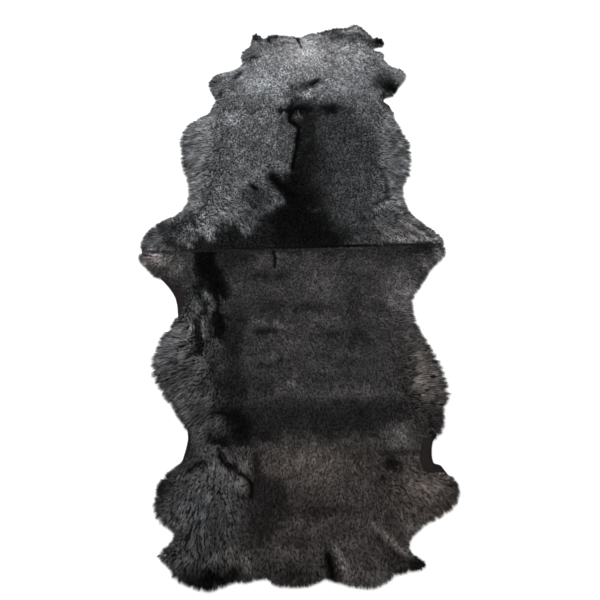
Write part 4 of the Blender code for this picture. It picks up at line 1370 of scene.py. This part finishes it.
class RUG_OT_stage(bpy.types.Operator):
    """Add the floor, the light and the camera"""

    bl_idname = "rug.stage"
    bl_label = "Stage"

    FLOOR_HALF = 4.0
    FLOOR_DROP = 0.5 * MM
    LAMP_SIZE = 2.4
    LAMP_PLACE = (-0.9, 1.5, 2.4)
    SENSOR_WIDTH = 36.0

    def execute(self, context):
        sizes = settings().stage
        scene = context.scene
        scene.view_settings.view_transform = "Standard"
        corners = np.array([(-1, -1, 0), (1, -1, 0), (1, 1, 0), (-1, 1, 0)]) * self.FLOOR_HALF
        corners[:, 2] = -self.FLOOR_DROP
        floor = joined_mesh("floor", corners, np.array([(0, 1, 2), (0, 2, 3)]),
                            plain_material("matt floor", tuple(sizes.floor_colour), 0.9))
        world = bpy.data.worlds.new("studio")
        scene.world = world
        world.use_nodes = True
        sky = world.node_tree.nodes["Background"]
        sky.inputs["Color"].default_value = (1.0, 1.0, 1.0, 1.0)
        sky.inputs["Strength"].default_value = sizes.sky_strength
        lamp = bpy.data.objects.new("soft lamp", bpy.data.lights.new("soft lamp", "AREA"))
        lamp.data.shape = "RECTANGLE"
        lamp.data.size = self.LAMP_SIZE
        lamp.data.size_y = self.LAMP_SIZE
        lamp.data.energy = sizes.lamp_power
        lamp.location = self.LAMP_PLACE
        lamp.rotation_euler = (-lamp.location).to_track_quat("-Z", "Y").to_euler()
        scene.collection.objects.link(lamp)
        camera = bpy.data.objects.new("camera", bpy.data.cameras.new("camera"))
        camera.data.sensor_width = self.SENSOR_WIDTH
        camera.data.lens = sizes.lens
        camera.location = sizes.camera_place
        camera.rotation_euler = (sizes.camera_tilt, 0.0, 0.0)
        scene.collection.objects.link(camera)
        scene.camera = camera
        return {"FINISHED"}


class RUG_OT_hides(bpy.types.Operator):
    """Add the two tanned hides, which show where the wool leaves them bare"""

    bl_idname = "rug.hides"
    bl_label = "Hides"

    EDGE_SHARE = 0.35
    BARE_WIDTH = 16.0 * MM
    CURL_SIZE = 0.03
    CURL_SEED = 51

    def execute(self, context):
        sizes = settings().hide
        material = hide_material("chrome-tanned sheep's leather", tuple(sizes.colour), sizes.grain_size)
        for name in PELTS:
            self.add_hide(pelt_named(name), sizes, material)
        return {"FINISHED"}

    def add_hide(self, pelt, sizes, material):
        """Add one hide, with its bare edges curled up a little."""
        draw = np.random.default_rng(SEED)
        outline = pelt.skin_outline
        plan = plan_inside(outline, sizes.spacing, self.EDGE_SHARE, draw)
        x, y = plan.T
        bare = np.clip(-pelt.rim_distance.read(x, y) / self.BARE_WIDTH, 0.0, 1.0)
        lift = bare * sizes.edge_lift * (0.25 + noise(x / self.CURL_SIZE, y / self.CURL_SIZE, self.CURL_SEED))
        places, triangles = closed_sheet(plan, len(outline), 0.9 * lift, pelt.skin_top + lift)
        piece = joined_mesh(f"{pelt.name}_hide", places, triangles, material)
        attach(piece, "root")
        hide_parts(pelt.skin_node)


class RUG_OT_underwool(bpy.types.Operator):
    """Add the dark, dense underwool that shows between the clumps"""

    bl_idname = "rug.underwool"
    bl_label = "Underwool"

    EDGE_SHARE = 0.5
    LUMP_HEIGHT = 2.6 * MM
    LUMP_SIZE = 0.009
    LUMP_SEED = 61
    LEAST_DEPTH = 1.5 * MM
    CLOUD_SIZE = 0.007
    CLOUD_SEED = 62

    def execute(self, context):
        sizes = settings().wool
        for name in PELTS:
            self.add_underwool(pelt_named(name), sizes)
        return {"FINISHED"}

    def add_underwool(self, pelt, sizes):
        """Add one pelt's underwool, lumpy on top and level below."""
        draw = np.random.default_rng(SEED + 3)
        outline = pelt.outline
        plan = plan_inside(outline, sizes.underwool_spacing, self.EDGE_SHARE, draw)
        x, y = plan.T
        lump = self.LUMP_HEIGHT * (noise(x / self.LUMP_SIZE, y / self.LUMP_SIZE, self.LUMP_SEED) - 0.5)
        long = lie_at(pelt, x, y)[2]
        depth = sizes.underwool_depth * by_length(UNDERWOOL_DEPTH, long)
        high = np.maximum(pelt.height.read(x, y) - depth + lump, pelt.base + self.LEAST_DEPTH)
        low = np.full(len(plan), pelt.base)
        places, triangles = closed_sheet(plan, len(outline), low, high, plain_below=True)
        x = places[:, 0]
        y = places[:, 1]
        _, _, long, grain = lie_at(pelt, x, y)
        cloud = 0.7 + 0.6 * noise(x / self.CLOUD_SIZE, y / self.CLOUD_SIZE, self.CLOUD_SEED)
        # The underwool is darker than the wool's tone: its dark dye, with painted shade deep in the pile.
        shade = (0.9 - 0.32 * grain - 0.28 * long) * tone_at(pelt.name, x, y) / 255.0 * cloud
        warmth = np.clip(warmth_at(pelt.name, x, y), 0.0, 1.0)
        piece = joined_mesh(f"{pelt.name}_underwool", places, triangles, wool_material_of(pelt.name),
                            {"shade": shade, "warmth": warmth})
        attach(piece, "root")
        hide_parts(pelt.node)


class RUG_OT_wool(bpy.types.Operator):
    """Add the combed wool of both pelts, each in four pieces"""

    bl_idname = "rug.wool"
    bl_label = "Wool"

    def execute(self, context):
        sizes = settings().wool
        for name in PELTS:
            pelt = pelt_named(name)
            fibres = wool_fibres(pelt, sizes)
            root = fibres["root"]
            middle_y = 0.5 * (pelt.outline[:, 1].min() + pelt.outline[:, 1].max())
            for side, on_side in (("left", root[:, 0] < 0.0), ("right", root[:, 0] >= 0.0)):
                for end, on_end in (("far", root[:, 1] >= middle_y), ("near", root[:, 1] < middle_y)):
                    piece = fibre_piece(f"{name}_wool_{side}_{end}", chosen(fibres, on_side & on_end),
                                        wool_material_of(name))
                    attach(piece, "root")
        return {"FINISHED"}


class RUG_OT_fringe(bpy.types.Operator):
    """Add the long locks around the rim of both pelts"""

    bl_idname = "rug.fringe"
    bl_label = "Fringe"

    def execute(self, context):
        sizes = settings().wool
        for name in PELTS:
            pelt = pelt_named(name)
            piece = fibre_piece(f"{name}_fringe", fringe_fibres(pelt, sizes), wool_material_of(name))
            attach(piece, "root")
        return {"FINISHED"}


OPERATORS = (RUG_OT_stage, RUG_OT_hides, RUG_OT_underwool, RUG_OT_wool, RUG_OT_fringe)


class RUG_PT_panel(bpy.types.Panel):
    """The rug's operators and settings"""

    bl_idname = "RUG_PT_panel"
    bl_label = "Sheepskin rug"
    bl_space_type = "VIEW_3D"
    bl_region_type = "UI"
    bl_category = "Rug"

    def draw(self, context):
        for operator in OPERATORS:
            self.layout.operator(operator.bl_idname)
        for group in (context.scene.rug_settings.wool, context.scene.rug_settings.hide,
                      context.scene.rug_settings.stage):
            box = self.layout.box()
            for key in group.bl_rna.properties.keys():
                if key not in ("rna_type", "name"):
                    box.prop(group, key)


CLASSES = (RugWoolSizes, RugHideSizes, RugStageSizes, RugSettings, *OPERATORS, RUG_PT_panel)


def register():
    """Register the classes and the scene's settings."""
    for one in CLASSES:
        bpy.utils.register_class(one)
    bpy.types.Scene.rug_settings = PointerProperty(type=RugSettings)


def unregister():
    """Take back what register added."""
    del bpy.types.Scene.rug_settings
    for one in reversed(CLASSES):
        bpy.utils.unregister_class(one)


def main():
    """Dress the rug."""
    register()
    bpy.ops.rug.stage()
    bpy.ops.rug.hides()
    bpy.ops.rug.underwool()
    bpy.ops.rug.wool()
    bpy.ops.rug.fringe()


if __name__ == "__main__":
    main()
